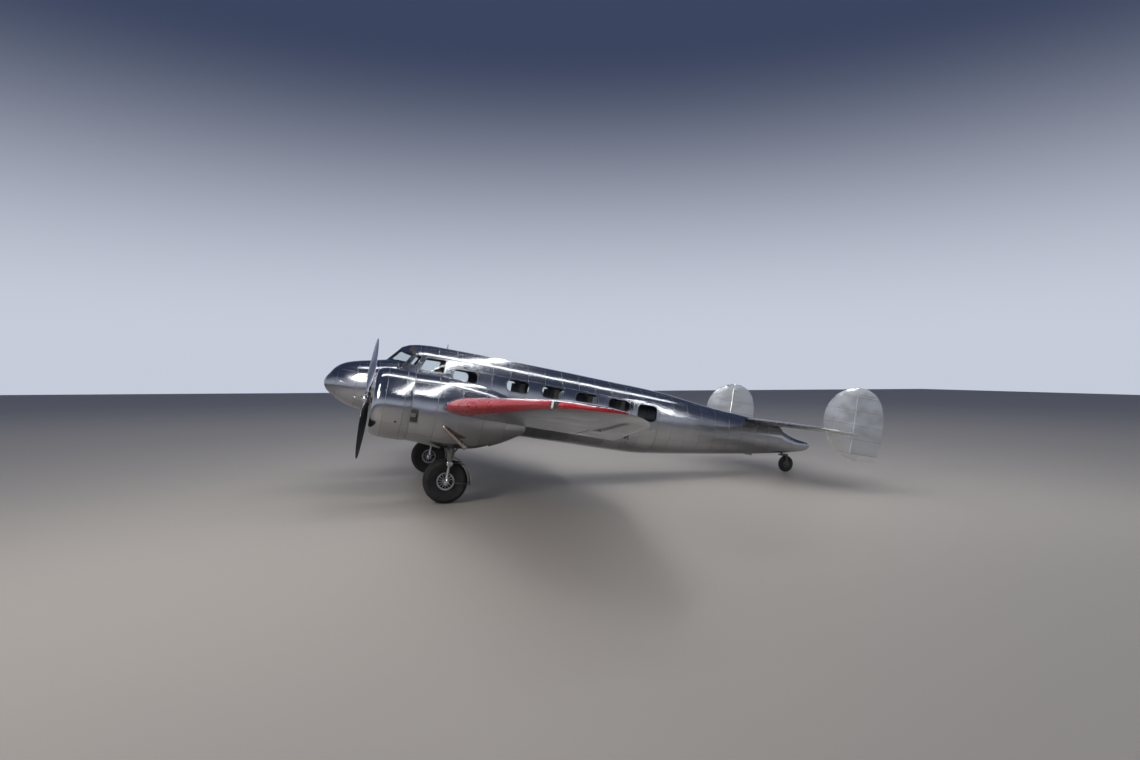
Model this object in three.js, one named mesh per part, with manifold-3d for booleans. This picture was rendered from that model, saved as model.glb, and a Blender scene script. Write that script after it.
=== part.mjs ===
// Twin-engine propeller airliner with a low wing, two radial engines, two oval fins and a tail wheel.
// Millimetres. +Z is up, the nose points along -Y and the port side is +X.
// Most pieces are drawn in the flight attitude, with y and z measured from the main wheel axle,
// and a group then tips the whole airframe nose up, onto its main wheels and its tail wheel.

import * as THREE from 'three';
import { mergeVertices } from 'three/addons/utils/BufferGeometryUtils.js';
import Module from 'manifold-3d';

const wasm = await Module();
wasm.setup();

// Driving dimensions

const PARKED_PITCH = THREE.MathUtils.degToRad(10);
const SEAM = 0.3;
const MOVING_GAP = 6;
const SKIN = 55;
const FAR = 40000;

const NOSE_JOINT_Y = -1750;
const COCKPIT_JOINT_Y = -150;
const TAIL_JOINT_Y = 4850;
const RING_POINTS = 20;
const BODY_SQUARENESS = 2.35;
const THINNEST = 2;
const ROD_SIDES = 10;

const HALF_SPAN = 8380;
const CENTRE_HALF_SPAN = 3000;
const ROOT_LEADING_Y = -320;
const ROOT_CHORD = 3200;
const ROOT_LEADING_Z = 1402;
const ROOT_THICKNESS = 0.125;
const TIP_THICKNESS = 0.107;
const TIP_START_X = 7400;
const TIP_CENTRE_Y = 1140;
const LEADING_SWEEP = THREE.MathUtils.degToRad(7.3);
const TRAILING_SWEEP = THREE.MathUtils.degToRad(-14.45);
const DIHEDRAL = THREE.MathUtils.degToRad(4.2);

const ENGINE_X = 2110;
const ENGINE_Z = 1285;
const PROPELLER_Y = -1670;
const PROPELLER_RADIUS = 1370;
const PROPELLER_TURN = THREE.MathUtils.degToRad(-33);
const CYLINDER_COUNT = 9;
const COWL_RADIUS = 645;

const WHEEL_RADIUS = 420;
const TYRE_WIDTH = 290;
const AXLE_RADIUS = 34.5;

const FIN_X = 2720;
const TAILPLANE_Z = 2200;
const RUDDER_HINGE_Y = 8200;
const ELEVATOR_HINGE_Y = 8200;

const TAIL_WHEEL_RADIUS = 200;
const TAIL_WHEEL_Y = 8600;
const TAIL_SWIVEL_Y = 8490;

// Materials

function finish(color, metalness, roughness) {
  return new THREE.MeshStandardMaterial({ color, metalness, roughness });
}

const polished = finish(0xb9bec6, 1, 0.22);
const dopedGrey = finish(0x9aa0a6, 0.4, 0.5);
const darkSteel = finish(0x4a4a4c, 0.9, 0.45);
const engineGrey = finish(0x5c5f63, 0.7, 0.5);
const exhaustSteel = finish(0x6d5a4a, 0.8, 0.5);
const rubber = finish(0x191919, 0, 0.85);
const glass = finish(0xaab7bd, 0, 0.08);
const cabinTrim = finish(0x6b665d, 0, 0.8);
const seatCloth = finish(0x4b4d45, 0, 0.9);

// Solids: closed meshes that can be joined and cut

const vec = (x, y, z) => new THREE.Vector3(x, y, z);

function toSolid(geometry) {
  const bare = geometry.clone();
  bare.deleteAttribute('normal');
  bare.deleteAttribute('uv');
  const merged = mergeVertices(bare, 1e-3);
  return new wasm.Manifold(new wasm.Mesh({
    numProp: 3,
    vertProperties: new Float32Array(merged.attributes.position.array),
    triVerts: new Uint32Array(merged.index.array),
  }));
}

function toGeometry(solid) {
  const mesh = solid.getMesh();
  const geometry = new THREE.BufferGeometry();
  const corners = new Float32Array(mesh.vertProperties);
  geometry.setAttribute('position', new THREE.BufferAttribute(corners, 3));
  geometry.setIndex(new THREE.BufferAttribute(new Uint32Array(mesh.triVerts), 1));
  geometry.computeVertexNormals();
  return geometry;
}

function mirrored(geometry) {
  const copy = geometry.clone();
  const position = copy.attributes.position;
  for (let i = 0; i < position.count; i += 1) position.setX(i, -position.getX(i));
  const index = copy.index.array;
  for (let i = 0; i < index.length; i += 3) {
    const first = index[i];
    index[i] = index[i + 1];
    index[i + 1] = first;
  }
  copy.computeVertexNormals();
  return copy;
}

// A closed solid through a list of rings with the same number of points.
// Its four-sided facets are split the mirrored way to starboard, so both sides have the same shape.
function loft(rings) {
  const points = rings.flat();
  const count = rings[0].length;
  const index = [];
  for (let ring = 0; ring + 1 < rings.length; ring += 1) {
    for (let i = 0; i < count; i += 1) {
      const a = ring * count + i;
      const b = ring * count + (i + 1) % count;
      const toPort = points[a].x + points[b].x + points[a + count].x + points[b + count].x >= 0;
      if (toPort) index.push(a, b, a + count, b, b + count, a + count);
      else index.push(a, b, b + count, a, b + count, a + count);
    }
  }
  for (const [ring, turn] of [[0, 1], [rings.length - 1, -1]]) {
    const middle = new THREE.Vector3();
    for (const point of rings[ring]) middle.addScaledVector(point, 1 / count);
    points.push(middle);
    for (let i = 0; i < count; i += 1) {
      const a = ring * count + i;
      const b = ring * count + (i + 1) % count;
      if (turn > 0) index.push(b, a, points.length - 1);
      else index.push(a, b, points.length - 1);
    }
  }
  const geometry = new THREE.BufferGeometry().setFromPoints(points);
  geometry.setIndex(index);
  const solid = toSolid(geometry);
  if (solid.volume() > 0) return solid;
  geometry.index.array.reverse();
  return toSolid(geometry);
}

function block(x, y, z) {
  const geometry = new THREE.BoxGeometry(x[1] - x[0], y[1] - y[0], z[1] - z[0]);
  geometry.translate((x[0] + x[1]) / 2, (y[0] + y[1]) / 2, (z[0] + z[1]) / 2);
  return toSolid(geometry);
}

// A rod between two points
function rod(from, to, radius, sides = ROD_SIDES) {
  const along = new THREE.Vector3().subVectors(to, from);
  const geometry = new THREE.CylinderGeometry(radius, radius, along.length(), sides);
  const axis = along.clone().normalize();
  geometry.applyQuaternion(new THREE.Quaternion().setFromUnitVectors(vec(0, 1, 0), axis));
  geometry.translate((from.x + to.x) / 2, (from.y + to.y) / 2, (from.z + to.z) / 2);
  return toSolid(geometry);
}

// Everything on the far side of a plane, for cutting away
function beyond(point, normal) {
  const geometry = new THREE.BoxGeometry(FAR, FAR, FAR);
  geometry.translate(0, 0, FAR / 2);
  const facing = normal.clone().normalize();
  geometry.applyQuaternion(new THREE.Quaternion().setFromUnitVectors(vec(0, 0, 1), facing));
  geometry.translate(point.x, point.y, point.z);
  return toSolid(geometry);
}

// A solid of revolution about Y, from a profile that starts and ends on the axis or closes on itself
function turned(profile, sides) {
  const points = profile.map(([r, y]) => new THREE.Vector2(r, y));
  const solid = toSolid(new THREE.LatheGeometry(points, sides));
  return solid.volume() > 0 ? solid : toSolid(new THREE.LatheGeometry(points.reverse(), sides));
}

const closedRing = (profile) => [...profile, profile[0]];

function joined(solids) {
  return solids.reduce((whole, piece) => whole.add(piece));
}

const airframe = new THREE.Group();
const attitude = new THREE.Group();
attitude.rotation.x = -PARKED_PITCH;
attitude.position.z = WHEEL_RADIUS;
airframe.add(attitude);

function addPiece(name, shape, material, group = attitude) {
  const geometry = shape.isBufferGeometry ? shape : toGeometry(shape);
  const mesh = new THREE.Mesh(geometry, material);
  mesh.name = name;
  group.add(mesh);
  return mesh;
}

function addPair(name, solid, material) {
  const geometry = toGeometry(solid);
  return {
    left: addPiece(`${name}_left`, geometry, material),
    right: addPiece(`${name}_right`, mirrored(geometry), material),
  };
}

// A group whose local X axis is a hinge line, for the pieces that turn on it
function hingeGroup(name, point, axis, pieces) {
  const group = new THREE.Group();
  group.name = name;
  group.position.copy(point);
  group.quaternion.setFromUnitVectors(vec(1, 0, 0), axis.clone().normalize());
  attitude.add(group);
  attitude.updateMatrixWorld(true);
  for (const piece of pieces) group.attach(piece);
}

const across = (v) => vec(-v.x, v.y, v.z);

function hingePair(name, point, axis, pair) {
  hingeGroup(`${name}_left_hinge`, point, axis, [pair.left]);
  hingeGroup(`${name}_right_hinge`, across(point), vec(axis.x, -axis.y, -axis.z), [pair.right]);
}

// Fuselage: rounded sections, one row each

function bodyRing({ y, bottom, top, half }, grow) {
  const ring = [];
  const power = 2 / BODY_SQUARENESS;
  const width = Math.max(half + grow, THINNEST);
  const height = Math.max((top - bottom) / 2 + grow, THINNEST);
  for (let i = 0; i < RING_POINTS; i += 1) {
    const angle = (i + 0.5) / RING_POINTS * Math.PI * 2;
    const c = Math.cos(angle);
    const s = Math.sin(angle);
    const x = width * Math.sign(c) * Math.abs(c) ** power;
    const z = height * Math.sign(s) * Math.abs(s) ** power;
    ring.push(vec(x, y, (top + bottom) / 2 + z));
  }
  return ring;
}

function rows(table, columns) {
  return table.map((row) => Object.fromEntries(columns.map((column, i) => [column, row[i]])));
}

const NOSE_SECTIONS = rows([
  [-2592, 1425, 1465, 22],
  [-2572, 1362, 1530, 105],
  [-2525, 1290, 1610, 190],
  [-2415, 1205, 1770, 310],
  [-2235, 1095, 1900, 440],
  [-2000, 1010, 1980, 540],
  [-1680, 960, 2052, 630],
  [-1400, 945, 2118, 690],
  [-1000, 940, 2190, 745],
  [-620, 1000, 2200, 700],
], ['y', 'bottom', 'top', 'half']);

const CABIN_SECTIONS = rows([
  [-1640, 1200, 2330, 590],
  [-1180, 1050, 2420, 702],
  [-1000, 945, 2505, 744],
  [-680, 940, 2558, 775],
  [-150, 940, 2570, 795],
  [2400, 938, 2535, 800],
  [3700, 948, 2500, 765],
  [4400, 965, 2485, 720],
  [5100, 1045, 2442, 650],
  [5950, 1160, 2345, 530],
  [6600, 1250, 2290, 435],
  [7000, 1310, 2275, 375],
  [7500, 1385, 2235, 305],
  [7900, 1448, 2190, 245],
  [8180, 1501, 2130, 200],
  [8250, 1514, 2060, 190],
  [8650, 1590, 1930, 130],
  [9000, 1690, 1880, 60],
  [9080, 1760, 1840, 20],
], ['y', 'bottom', 'top', 'half']);

function body(table, grow) {
  return loft(table.map((row) => bodyRing(row, grow)));
}

// The windscreen is two flat panes that meet in a raked V
const SCREEN_BASE = vec(0, -1420, 2115);
const SCREEN_TOP = vec(0, -1175, 2400);
const SCREEN_CORNER = vec(650, -1000, 2090);

function screenNormal(side) {
  const corner = vec(SCREEN_CORNER.x * side, SCREEN_CORNER.y, SCREEN_CORNER.z);
  const alongBase = corner.sub(SCREEN_BASE);
  const up = new THREE.Vector3().subVectors(SCREEN_TOP, SCREEN_BASE);
  const normal = new THREE.Vector3().crossVectors(alongBase, up).normalize();
  return normal.y < 0 ? normal : normal.negate();
}

function behindScreen(solid, grow) {
  let cut = solid;
  for (const side of [-1, 1]) {
    const normal = screenNormal(side);
    cut = cut.subtract(beyond(SCREEN_BASE.clone().addScaledVector(normal, grow), normal));
  }
  return cut;
}

function between(solid, from, to) {
  return solid
    .subtract(beyond(vec(0, from, 0), vec(0, -1, 0)))
    .subtract(beyond(vec(0, to, 0), vec(0, 1, 0)));
}

function fuselage(grow) {
  return body(NOSE_SECTIONS, grow).add(behindScreen(body(CABIN_SECTIONS, grow), grow));
}

const outerBody = fuselage(0);
const grownBody = fuselage(SEAM);
const innerBody = fuselage(-SKIN);
const LINER_GAP = 0.8;
const linerBody = fuselage(-SKIN - LINER_GAP);

addPiece('fuselage_nose', between(outerBody, -FAR / 2, NOSE_JOINT_Y), polished);

// Windows: flat openings through the side wall, one row each

const COCKPIT_WINDOWS = [
  [[-960, 2090], [-840, 2080], [-735, 2285], [-835, 2322]],
  [[-735, 2020], [-250, 2020], [-232, 2292], [-632, 2285]],
];

const CABIN_WINDOWS = rows([
  [-60, 460, 1895, 2155],
  [1090, 1590, 1880, 2145],
  [1870, 2390, 1875, 2140],
  [2640, 3160, 1870, 2130],
  [3410, 3930, 1865, 2120],
], ['front', 'rear', 'sill', 'head']);

const WINDOW_CORNER = 70;
const WALL_X = [300, 1000];

// A flat outline swept across the ship, between two distances from the middle
function sweptAcross(shape, from, to, curveSegments) {
  const settings = { depth: to - from, bevelEnabled: false, curveSegments };
  const geometry = new THREE.ExtrudeGeometry(shape, settings);
  geometry.applyMatrix4(new THREE.Matrix4().makeBasis(vec(0, 1, 0), vec(0, 0, 1), vec(1, 0, 0)));
  geometry.translate(from, 0, 0);
  return toSolid(geometry);
}

function sideOpening(shape, side) {
  const [inner, outer] = WALL_X;
  return side > 0 ? sweptAcross(shape, inner, outer, 1) : sweptAcross(shape, -outer, -inner, 1);
}

function roundedWindow({ front, rear, sill, head }, corner, grow = 0) {
  const shape = new THREE.Shape();
  const [l, r, b, t] = [front - grow, rear + grow, sill - grow, head + grow];
  shape.moveTo(l + corner, b);
  shape.lineTo(r - corner, b);
  shape.quadraticCurveTo(r, b, r, b + corner);
  shape.lineTo(r, t - corner);
  shape.quadraticCurveTo(r, t, r - corner, t);
  shape.lineTo(l + corner, t);
  shape.quadraticCurveTo(l, t, l, t - corner);
  shape.lineTo(l, b + corner);
  shape.quadraticCurveTo(l, b, l + corner, b);
  return shape;
}

// Cockpit: a shell open at the rear, with two panes in front and two windows on each side

const PANE_DEPTH = [-38, -30];
const SCREEN_CUT = [-400, 200];
const PANE_CORNERS = rows([
  [34, 56],
  [690, 46],
  [610, 285],
  [34, 322],
], ['outward', 'upward']);

// One pane, drawn along the base of the windscreen and up its middle post
function screenPane(side, margin, depth) {
  const normal = screenNormal(side);
  const corner = vec(SCREEN_CORNER.x * side, SCREEN_CORNER.y, SCREEN_CORNER.z);
  const outward = corner.sub(SCREEN_BASE).normalize();
  const upward = new THREE.Vector3().subVectors(SCREEN_TOP, SCREEN_BASE).normalize();
  const inset = [[1, 1], [-1, 1], [-1, -1], [1, -1]];
  const ring = (offset) => PANE_CORNERS.map((row, i) => SCREEN_BASE.clone()
    .addScaledVector(outward, row.outward + inset[i][0] * margin)
    .addScaledVector(upward, row.upward + inset[i][1] * margin)
    .addScaledVector(normal, offset));
  return loft(depth.map(ring));
}

let cockpit = between(outerBody, NOSE_JOINT_Y + SEAM, COCKPIT_JOINT_Y)
  .subtract(between(innerBody, NOSE_JOINT_Y + SKIN, FAR / 2));
for (const side of [-1, 1]) {
  cockpit = cockpit.subtract(screenPane(side, 0, SCREEN_CUT));
  for (const outline of COCKPIT_WINDOWS) {
    const shape = new THREE.Shape(outline.map(([y, z]) => new THREE.Vector2(y, z)));
    cockpit = cockpit.subtract(sideOpening(shape, side));
  }
}
addPiece('cockpit_shell', cockpit, polished);
addPiece('windscreen_left', screenPane(1, 2 * SEAM, PANE_DEPTH), glass);
addPiece('windscreen_right', screenPane(-1, 2 * SEAM, PANE_DEPTH), glass);

// Cabin: a tube with five windows a side and a door at the rear of the port side

const DOOR = { front: 3995, rear: 4690, sill: 1120, head: 2200 };
const DOOR_WINDOW = { front: 4130, rear: 4620, sill: 1740, head: 2110 };
const DOOR_CORNER = 90;
const SKIN_X_AT_HINGE = 757;
const HINGE_RADIUS = 13;
const HINGE_STANDOFF = 16;
const HINGE_HALF = 40;
const HINGE_ARM = 38;
const HINGE_REACH = 60;
const HINGE_LEAF = [-6, 4];
const HINGE_ROOT_X = 600;
const HINGE_HEIGHTS = [1350, 2000];
const DOOR_HINGE = vec(SKIN_X_AT_HINGE + HINGE_STANDOFF, DOOR.front - MOVING_GAP / 2, DOOR.sill);

const cabinTube = between(outerBody, COCKPIT_JOINT_Y + SEAM, TAIL_JOINT_Y).subtract(innerBody);
let cabin = cabinTube;
for (const row of CABIN_WINDOWS) {
  for (const side of [-1, 1]) {
    cabin = cabin.subtract(sideOpening(roundedWindow(row, WINDOW_CORNER), side));
  }
}
cabin = cabin.subtract(sideOpening(roundedWindow(DOOR, DOOR_CORNER), 1));
let door = cabinTube.intersect(sideOpening(roundedWindow(DOOR, DOOR_CORNER, -MOVING_GAP), 1));
door = door.subtract(sideOpening(roundedWindow(DOOR_WINDOW, WINDOW_CORNER), 1));

// Each hinge is a knuckle on the door between two on the cabin
for (const height of HINGE_HEIGHTS) {
  const at = (dz) => vec(DOOR_HINGE.x, DOOR_HINGE.y, height + dz);
  const armZ = [height - HINGE_ARM, height + HINGE_ARM];
  const armY = [DOOR.front + MOVING_GAP, DOOR.front + HINGE_REACH];
  const leafX = HINGE_LEAF.map((offset) => DOOR_HINGE.x + offset);
  door = door.add(rod(at(-HINGE_HALF), at(HINGE_HALF), HINGE_RADIUS));
  door = door.add(block([HINGE_ROOT_X, DOOR_HINGE.x], armY, armZ).subtract(innerBody));
  door = door.add(block(leafX, [DOOR_HINGE.y, DOOR.front + HINGE_REACH], armZ));
  for (const dz of [-2 * HINGE_HALF - 1, HINGE_HALF + 1]) {
    const lugY = [DOOR.front - HINGE_REACH, DOOR.front - 2];
    const lug = block([HINGE_ROOT_X, DOOR_HINGE.x], lugY, [height + dz, height + dz + HINGE_ARM]);
    cabin = cabin.add(rod(at(dz - SEAM), at(dz + HINGE_HALF), HINGE_RADIUS));
    cabin = cabin.add(lug.subtract(innerBody));
  }
}
addPiece('cabin_shell', cabin, polished);
const doorPiece = addPiece('cabin_door', door, polished);
hingeGroup('cabin_door_hinge', DOOR_HINGE, vec(0, 0, 1), [doorPiece]);

// Inside: floor, spar, bulkhead, instrument panel and seats

const INSIDE_X = [-900, 900];
const FLOOR_TOP = 1110;
const FLOOR_THICKNESS = 30;
const FLOOR_FRONT_Y = NOSE_JOINT_Y + SKIN + 20;
const SPAR_Y = [590, 790];
const SPAR_TOP = 1560;
const BULKHEAD_Y = [-150, -120];
const DOORWAY = { half: 190, y: [-200, 0], sill: FLOOR_TOP + 20, head: 2350 };
const PANEL = { y: [-1180, -1110], z: [1600, 2050] };
const CONSOLE = { half: 120, y: [-1130, -1050], top: 1700 };
const onFloor = FLOOR_TOP + SEAM;

const floorZ = [FLOOR_TOP - FLOOR_THICKNESS, FLOOR_TOP];
const floor = block(INSIDE_X, [FLOOR_FRONT_Y, TAIL_JOINT_Y - 1], floorZ).intersect(linerBody);
addPiece('cabin_floor', floor, cabinTrim);

addPiece('main_spar', block(INSIDE_X, SPAR_Y, [onFloor, SPAR_TOP]).intersect(linerBody), polished);

const doorway = block([-DOORWAY.half, DOORWAY.half], DOORWAY.y, [DOORWAY.sill, DOORWAY.head]);
const bulkhead = between(linerBody, ...BULKHEAD_Y).subtract(block(INSIDE_X, DOORWAY.y, [0, onFloor]));
addPiece('cockpit_bulkhead', bulkhead.subtract(doorway), cabinTrim);

const panel = block(INSIDE_X, PANEL.y, PANEL.z).intersect(linerBody);
const pedestal = block([-CONSOLE.half, CONSOLE.half], CONSOLE.y, [onFloor, CONSOLE.top]);
addPiece('instrument_panel', panel.add(pedestal), darkSteel);

// Seats stand on a rail: a cushion, a back and a foot, one row each
const SEAT_PARTS = rows([
  [190, -230, 230, 300, 430],
  [190, 190, 290, 350, 980],
  [30, -150, 200, 40, 310],
], ['half', 'front', 'rear', 'low', 'high']);
const RAIL = { half: 40, front: -230, rear: 240, top: 45 };
const SEAT_PITCH = 780;

function seatRow(count, x, front) {
  const railY = [front + RAIL.front, front + SEAT_PITCH * (count - 1) + RAIL.rear];
  const parts = [block([x - RAIL.half, x + RAIL.half], railY, [onFloor, FLOOR_TOP + RAIL.top])];
  for (let i = 0; i < count; i += 1) {
    const y = front + i * SEAT_PITCH;
    for (const row of SEAT_PARTS) {
      const heights = [FLOOR_TOP + row.low, FLOOR_TOP + row.high];
      parts.push(block([x - row.half, x + row.half], [y + row.front, y + row.rear], heights));
    }
  }
  return joined(parts);
}

const CABIN_SEATS = { count: 4, x: 350, y: 1250 };
const CREW_SEAT = { count: 1, x: 340, y: -560 };
addPair('cabin_seats', seatRow(CABIN_SEATS.count, CABIN_SEATS.x, CABIN_SEATS.y), seatCloth);
addPair('crew_seat', seatRow(CREW_SEAT.count, CREW_SEAT.x, CREW_SEAT.y), seatCloth);

// Wing: a flat-bottomed section, in fractions of the chord

const WING_SECTION = rows([
  [0, 0.035, 0.035],
  [0.0125, 0.0545, 0.0193],
  [0.05, 0.079, 0.0093],
  [0.1, 0.096, 0.0042],
  [0.2, 0.1136, 0.0003],
  [0.35, 0.116, 0],
  [0.5, 0.1052, 0],
  [0.65, 0.083, 0],
  [0.8, 0.0522, 0],
  [1, 0.004, 0],
], ['chord', 'upper', 'lower']);
const SECTION_THICKNESS = 0.117;
const LEADING_HEIGHT = 0.035;

function leadingY(x) {
  return ROOT_LEADING_Y + Math.max(0, x - CENTRE_HALF_SPAN) * Math.tan(LEADING_SWEEP);
}

function trailingY(x) {
  return ROOT_LEADING_Y + ROOT_CHORD + Math.max(0, x - CENTRE_HALF_SPAN) * Math.tan(TRAILING_SWEEP);
}

const TIP_ROUNDNESS = 2.2;

// Where the wing is cut at one station, with the tip drawn in to a round end
function wingStation(x) {
  const reach = Math.max(0, (x - TIP_START_X) / (HALF_SPAN - TIP_START_X));
  const squeeze = (1 - reach ** TIP_ROUNDNESS) ** (1 / TIP_ROUNDNESS);
  const front = TIP_CENTRE_Y + (leadingY(x) - TIP_CENTRE_Y) * squeeze;
  const rear = TIP_CENTRE_Y + (trailingY(x) - TIP_CENTRE_Y) * squeeze;
  const outward = Math.max(0, x - CENTRE_HALF_SPAN) / (HALF_SPAN - CENTRE_HALF_SPAN);
  const thickness = THREE.MathUtils.lerp(ROOT_THICKNESS, TIP_THICKNESS, outward);
  const lift = Math.max(0, x - CENTRE_HALF_SPAN) * Math.tan(DIHEDRAL);
  const fullHeight = thickness * (trailingY(x) - leadingY(x));
  const underside = ROOT_LEADING_Z + lift - LEADING_HEIGHT / SECTION_THICKNESS * fullHeight;
  return { front, chord: rear - front, height: fullHeight * squeeze, underside, fullHeight };
}

function wingRing(x, grow) {
  const { front, chord, height, underside, fullHeight } = wingStation(x);
  const raise = (fullHeight - height) * LEADING_HEIGHT / SECTION_THICKNESS;
  const point = (row, side, sign) => {
    const slide = row.chord === 0 ? -grow : (row.chord === 1 ? grow : 0);
    const z = underside + raise + row[side] * height / SECTION_THICKNESS;
    return vec(x, front + row.chord * chord + slide, z + (row.chord === 0 ? 0 : sign * grow));
  };
  const upper = WING_SECTION.map((row) => point(row, 'upper', 1));
  const lower = WING_SECTION.slice(1).reverse().map((row) => point(row, 'lower', -1));
  return [...upper, ...lower];
}

const TIP_STATIONS = [TIP_START_X, 7650, 7850, 8050, 8200, 8310, 8360, 8376];
const WING_BURIED_X = 500;

function wingCentre(grow) {
  return loft([WING_BURIED_X, CENTRE_HALF_SPAN].map((x) => wingRing(x, grow)));
}

function wingOuter(grow) {
  return loft([CENTRE_HALF_SPAN + SEAM, ...TIP_STATIONS].map((x) => wingRing(x, grow)));
}

// Hinge lines run along a constant fraction of the chord
function wingPoint(x, fraction, heightFraction) {
  const { front, chord, height, underside } = wingStation(x);
  return vec(x, front + chord * fraction, underside + height * heightFraction);
}

const PIN_RADIUS = 9;
const PIN_LENGTH = 30;
const PIN_SIDES = 8;
const HOLE_DEPTH = PIN_LENGTH + 4;

// A hole that leaves the pin its seam all round
function pinHole(point, along) {
  const from = point.clone().addScaledVector(along, -HOLE_DEPTH);
  const to = point.clone().addScaledVector(along, HOLE_DEPTH);
  return rod(from, to, PIN_RADIUS + 1, PIN_SIDES);
}

function pin(point, along) {
  const from = point.clone().addScaledVector(along, -PIN_LENGTH);
  const to = point.clone().addScaledVector(along, PIN_LENGTH);
  return rod(from, to, PIN_RADIUS, PIN_SIDES);
}

const NOSE_SLOPE = 1.1;

// The slice of a wing between the two ends of a hinge line and behind it
function behindHinge(solid, start, end, gap) {
  const along = new THREE.Vector3().subVectors(end, start).normalize();
  const aft = vec(-along.y, along.x, 0).normalize();
  return solid
    .subtract(beyond(vec(start.x + gap, 0, 0), vec(-1, 0, 0)))
    .subtract(beyond(vec(end.x - gap, 0, 0), vec(1, 0, 0)))
    .subtract(beyond(start.clone().addScaledVector(aft, gap - 2 * MOVING_GAP), aft.clone().negate()));
}

// The nose of a control surface is a wedge, which leaves it room to turn
function wedgeNose(solid, start, end) {
  const along = new THREE.Vector3().subVectors(end, start).normalize();
  const aft = vec(-along.y, along.x, 0).normalize();
  const up = new THREE.Vector3().crossVectors(along, aft);
  const nose = start.clone().addScaledVector(aft, -MOVING_GAP);
  const away = [NOSE_SLOPE, -NOSE_SLOPE].map((slope) => aft.clone().negate().addScaledVector(up, slope));
  return away.reduce((cut, normal) => cut.subtract(beyond(nose, normal)), solid);
}

const AILERON_SPAN = [4950, 7600];
const AILERON_HINGE = { chord: 0.77, height: 0.45 };
const aileronEnds = AILERON_SPAN.map((x) => wingPoint(x, AILERON_HINGE.chord, AILERON_HINGE.height));
const [aileronStart, aileronEnd] = aileronEnds;
const aileronAxis = new THREE.Vector3().subVectors(aileronEnd, aileronStart).normalize();

const FLAP_HINGE = 0.75;
const FLAP_REAR = 0.975;
const FLAP_THICKNESS = 22;
const FLAP_NOSE_GAP = 16;
const FLAP_TAPER = 0.3;
const FLAP_OVERHANG = 60;
const FLAPS = [
  { name: 'flap_inner', span: [850, 2960] },
  { name: 'flap_outer', span: [3040, 4900] },
];

// The flap is a plate let into the underside, thinning toward the trailing edge
function flapPlate([from, to], grow, noseGrow) {
  const ring = (x) => {
    const hinge = wingPoint(x, FLAP_HINGE, 0);
    const rear = wingPoint(x, FLAP_REAR, 0);
    return [
      vec(x, hinge.y - noseGrow, hinge.z - FLAP_OVERHANG),
      vec(x, rear.y + grow, rear.z - FLAP_OVERHANG),
      vec(x, rear.y + grow, rear.z + FLAP_THICKNESS * FLAP_TAPER + grow),
      vec(x, hinge.y - noseGrow, hinge.z + FLAP_THICKNESS + grow),
    ];
  };
  return loft([ring(from - grow), ring(to + grow)]);
}

// A flat pad under the front spar takes the jack
const JACK_PAD = { x: 1250, y: 700, radius: 70, rise: 20, drop: 12 };
const padAt = (dz) => vec(JACK_PAD.x, JACK_PAD.y, wingStation(JACK_PAD.x).underside + dz);
const jackPad = rod(padAt(JACK_PAD.rise), padAt(-JACK_PAD.drop), JACK_PAD.radius, 16);
let centreWing = wingCentre(0).subtract(grownBody).add(jackPad);
const centreWhole = wingCentre(0);
let outerWing = wingOuter(0);
const outerWhole = outerWing;

const aileronSlice = behindHinge(outerWhole, aileronStart, aileronEnd, MOVING_GAP);
const aileron = wedgeNose(aileronSlice, aileronStart, aileronEnd);
const wingBehind = behindHinge(wingOuter(MOVING_GAP), aileronStart, aileronEnd, 0);
outerWing = outerWing.subtract(wingBehind);
for (const end of aileronEnds) outerWing = outerWing.subtract(pinHole(end, aileronAxis));
const aileronPins = aileronEnds.map((end) => pin(end, aileronAxis));
const aileronPair = addPair('aileron', joined([aileron, ...aileronPins]), polished);
hingePair('aileron', aileronStart, aileronAxis, aileronPair);

const flapHinges = [];
for (const { name, span } of FLAPS) {
  const host = span[0] > CENTRE_HALF_SPAN ? outerWhole : centreWhole;
  const ends = span.map((x) => wingPoint(x, FLAP_HINGE, 0).add(vec(0, 0, FLAP_THICKNESS / 2)));
  const axis = new THREE.Vector3().subVectors(ends[1], ends[0]).normalize();
  const plate = joined([flapPlate(span, 0, 0).intersect(host), ...ends.map((at) => pin(at, axis))]);
  const room = joined([flapPlate(span, MOVING_GAP, FLAP_NOSE_GAP), ...ends.map((at) => pinHole(at, axis))]);
  if (span[0] > CENTRE_HALF_SPAN) outerWing = outerWing.subtract(room);
  else centreWing = centreWing.subtract(room);
  flapHinges.push({ name, start: ends[0], axis, plate });
}
for (const { name, start, axis, plate } of flapHinges) {
  hingePair(name, start, axis, addPair(name, plate, polished));
}

// Landing light: a clear piece of the leading edge just inboard of the tip
const LIGHT_X = [7770, 7910];
const LIGHT_DEPTH = 40;
const lightRear = wingStation(LIGHT_X[1]).front + LIGHT_DEPTH;

function lightSlot(gap) {
  return block([LIGHT_X[0] + gap, LIGHT_X[1] - gap], [ROOT_LEADING_Y, lightRear - gap], [0, FAR]);
}

addPair('landing_light', outerWhole.intersect(lightSlot(SEAM)), glass);
outerWing = outerWing.subtract(lightSlot(0));

addPair('wing_centre', centreWing, polished);
addPair('wing_outer', outerWing, polished);

// Nacelles, with a wheel well underneath

const NACELLE_SECTIONS = rows([
  [-895, 658, 1914, 628],
  [-450, 622, 1936, 646],
  [-190, 592, 1930, 640],
  [330, 640, 1885, 600],
  [640, 740, 1835, 530],
  [950, 880, 1750, 430],
  [1240, 1050, 1600, 290],
  [1330, 1140, 1480, 170],
], ['y', 'bottom', 'top', 'half']);
const WELL = { x: 285, y: [-230, 700], roof: 900 };

function nacelleSolid(grow) {
  const moved = (point) => vec(point.x + ENGINE_X, point.y, point.z);
  return loft(NACELLE_SECTIONS.map((row) => bodyRing(row, grow).map(moved)));
}

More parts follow.
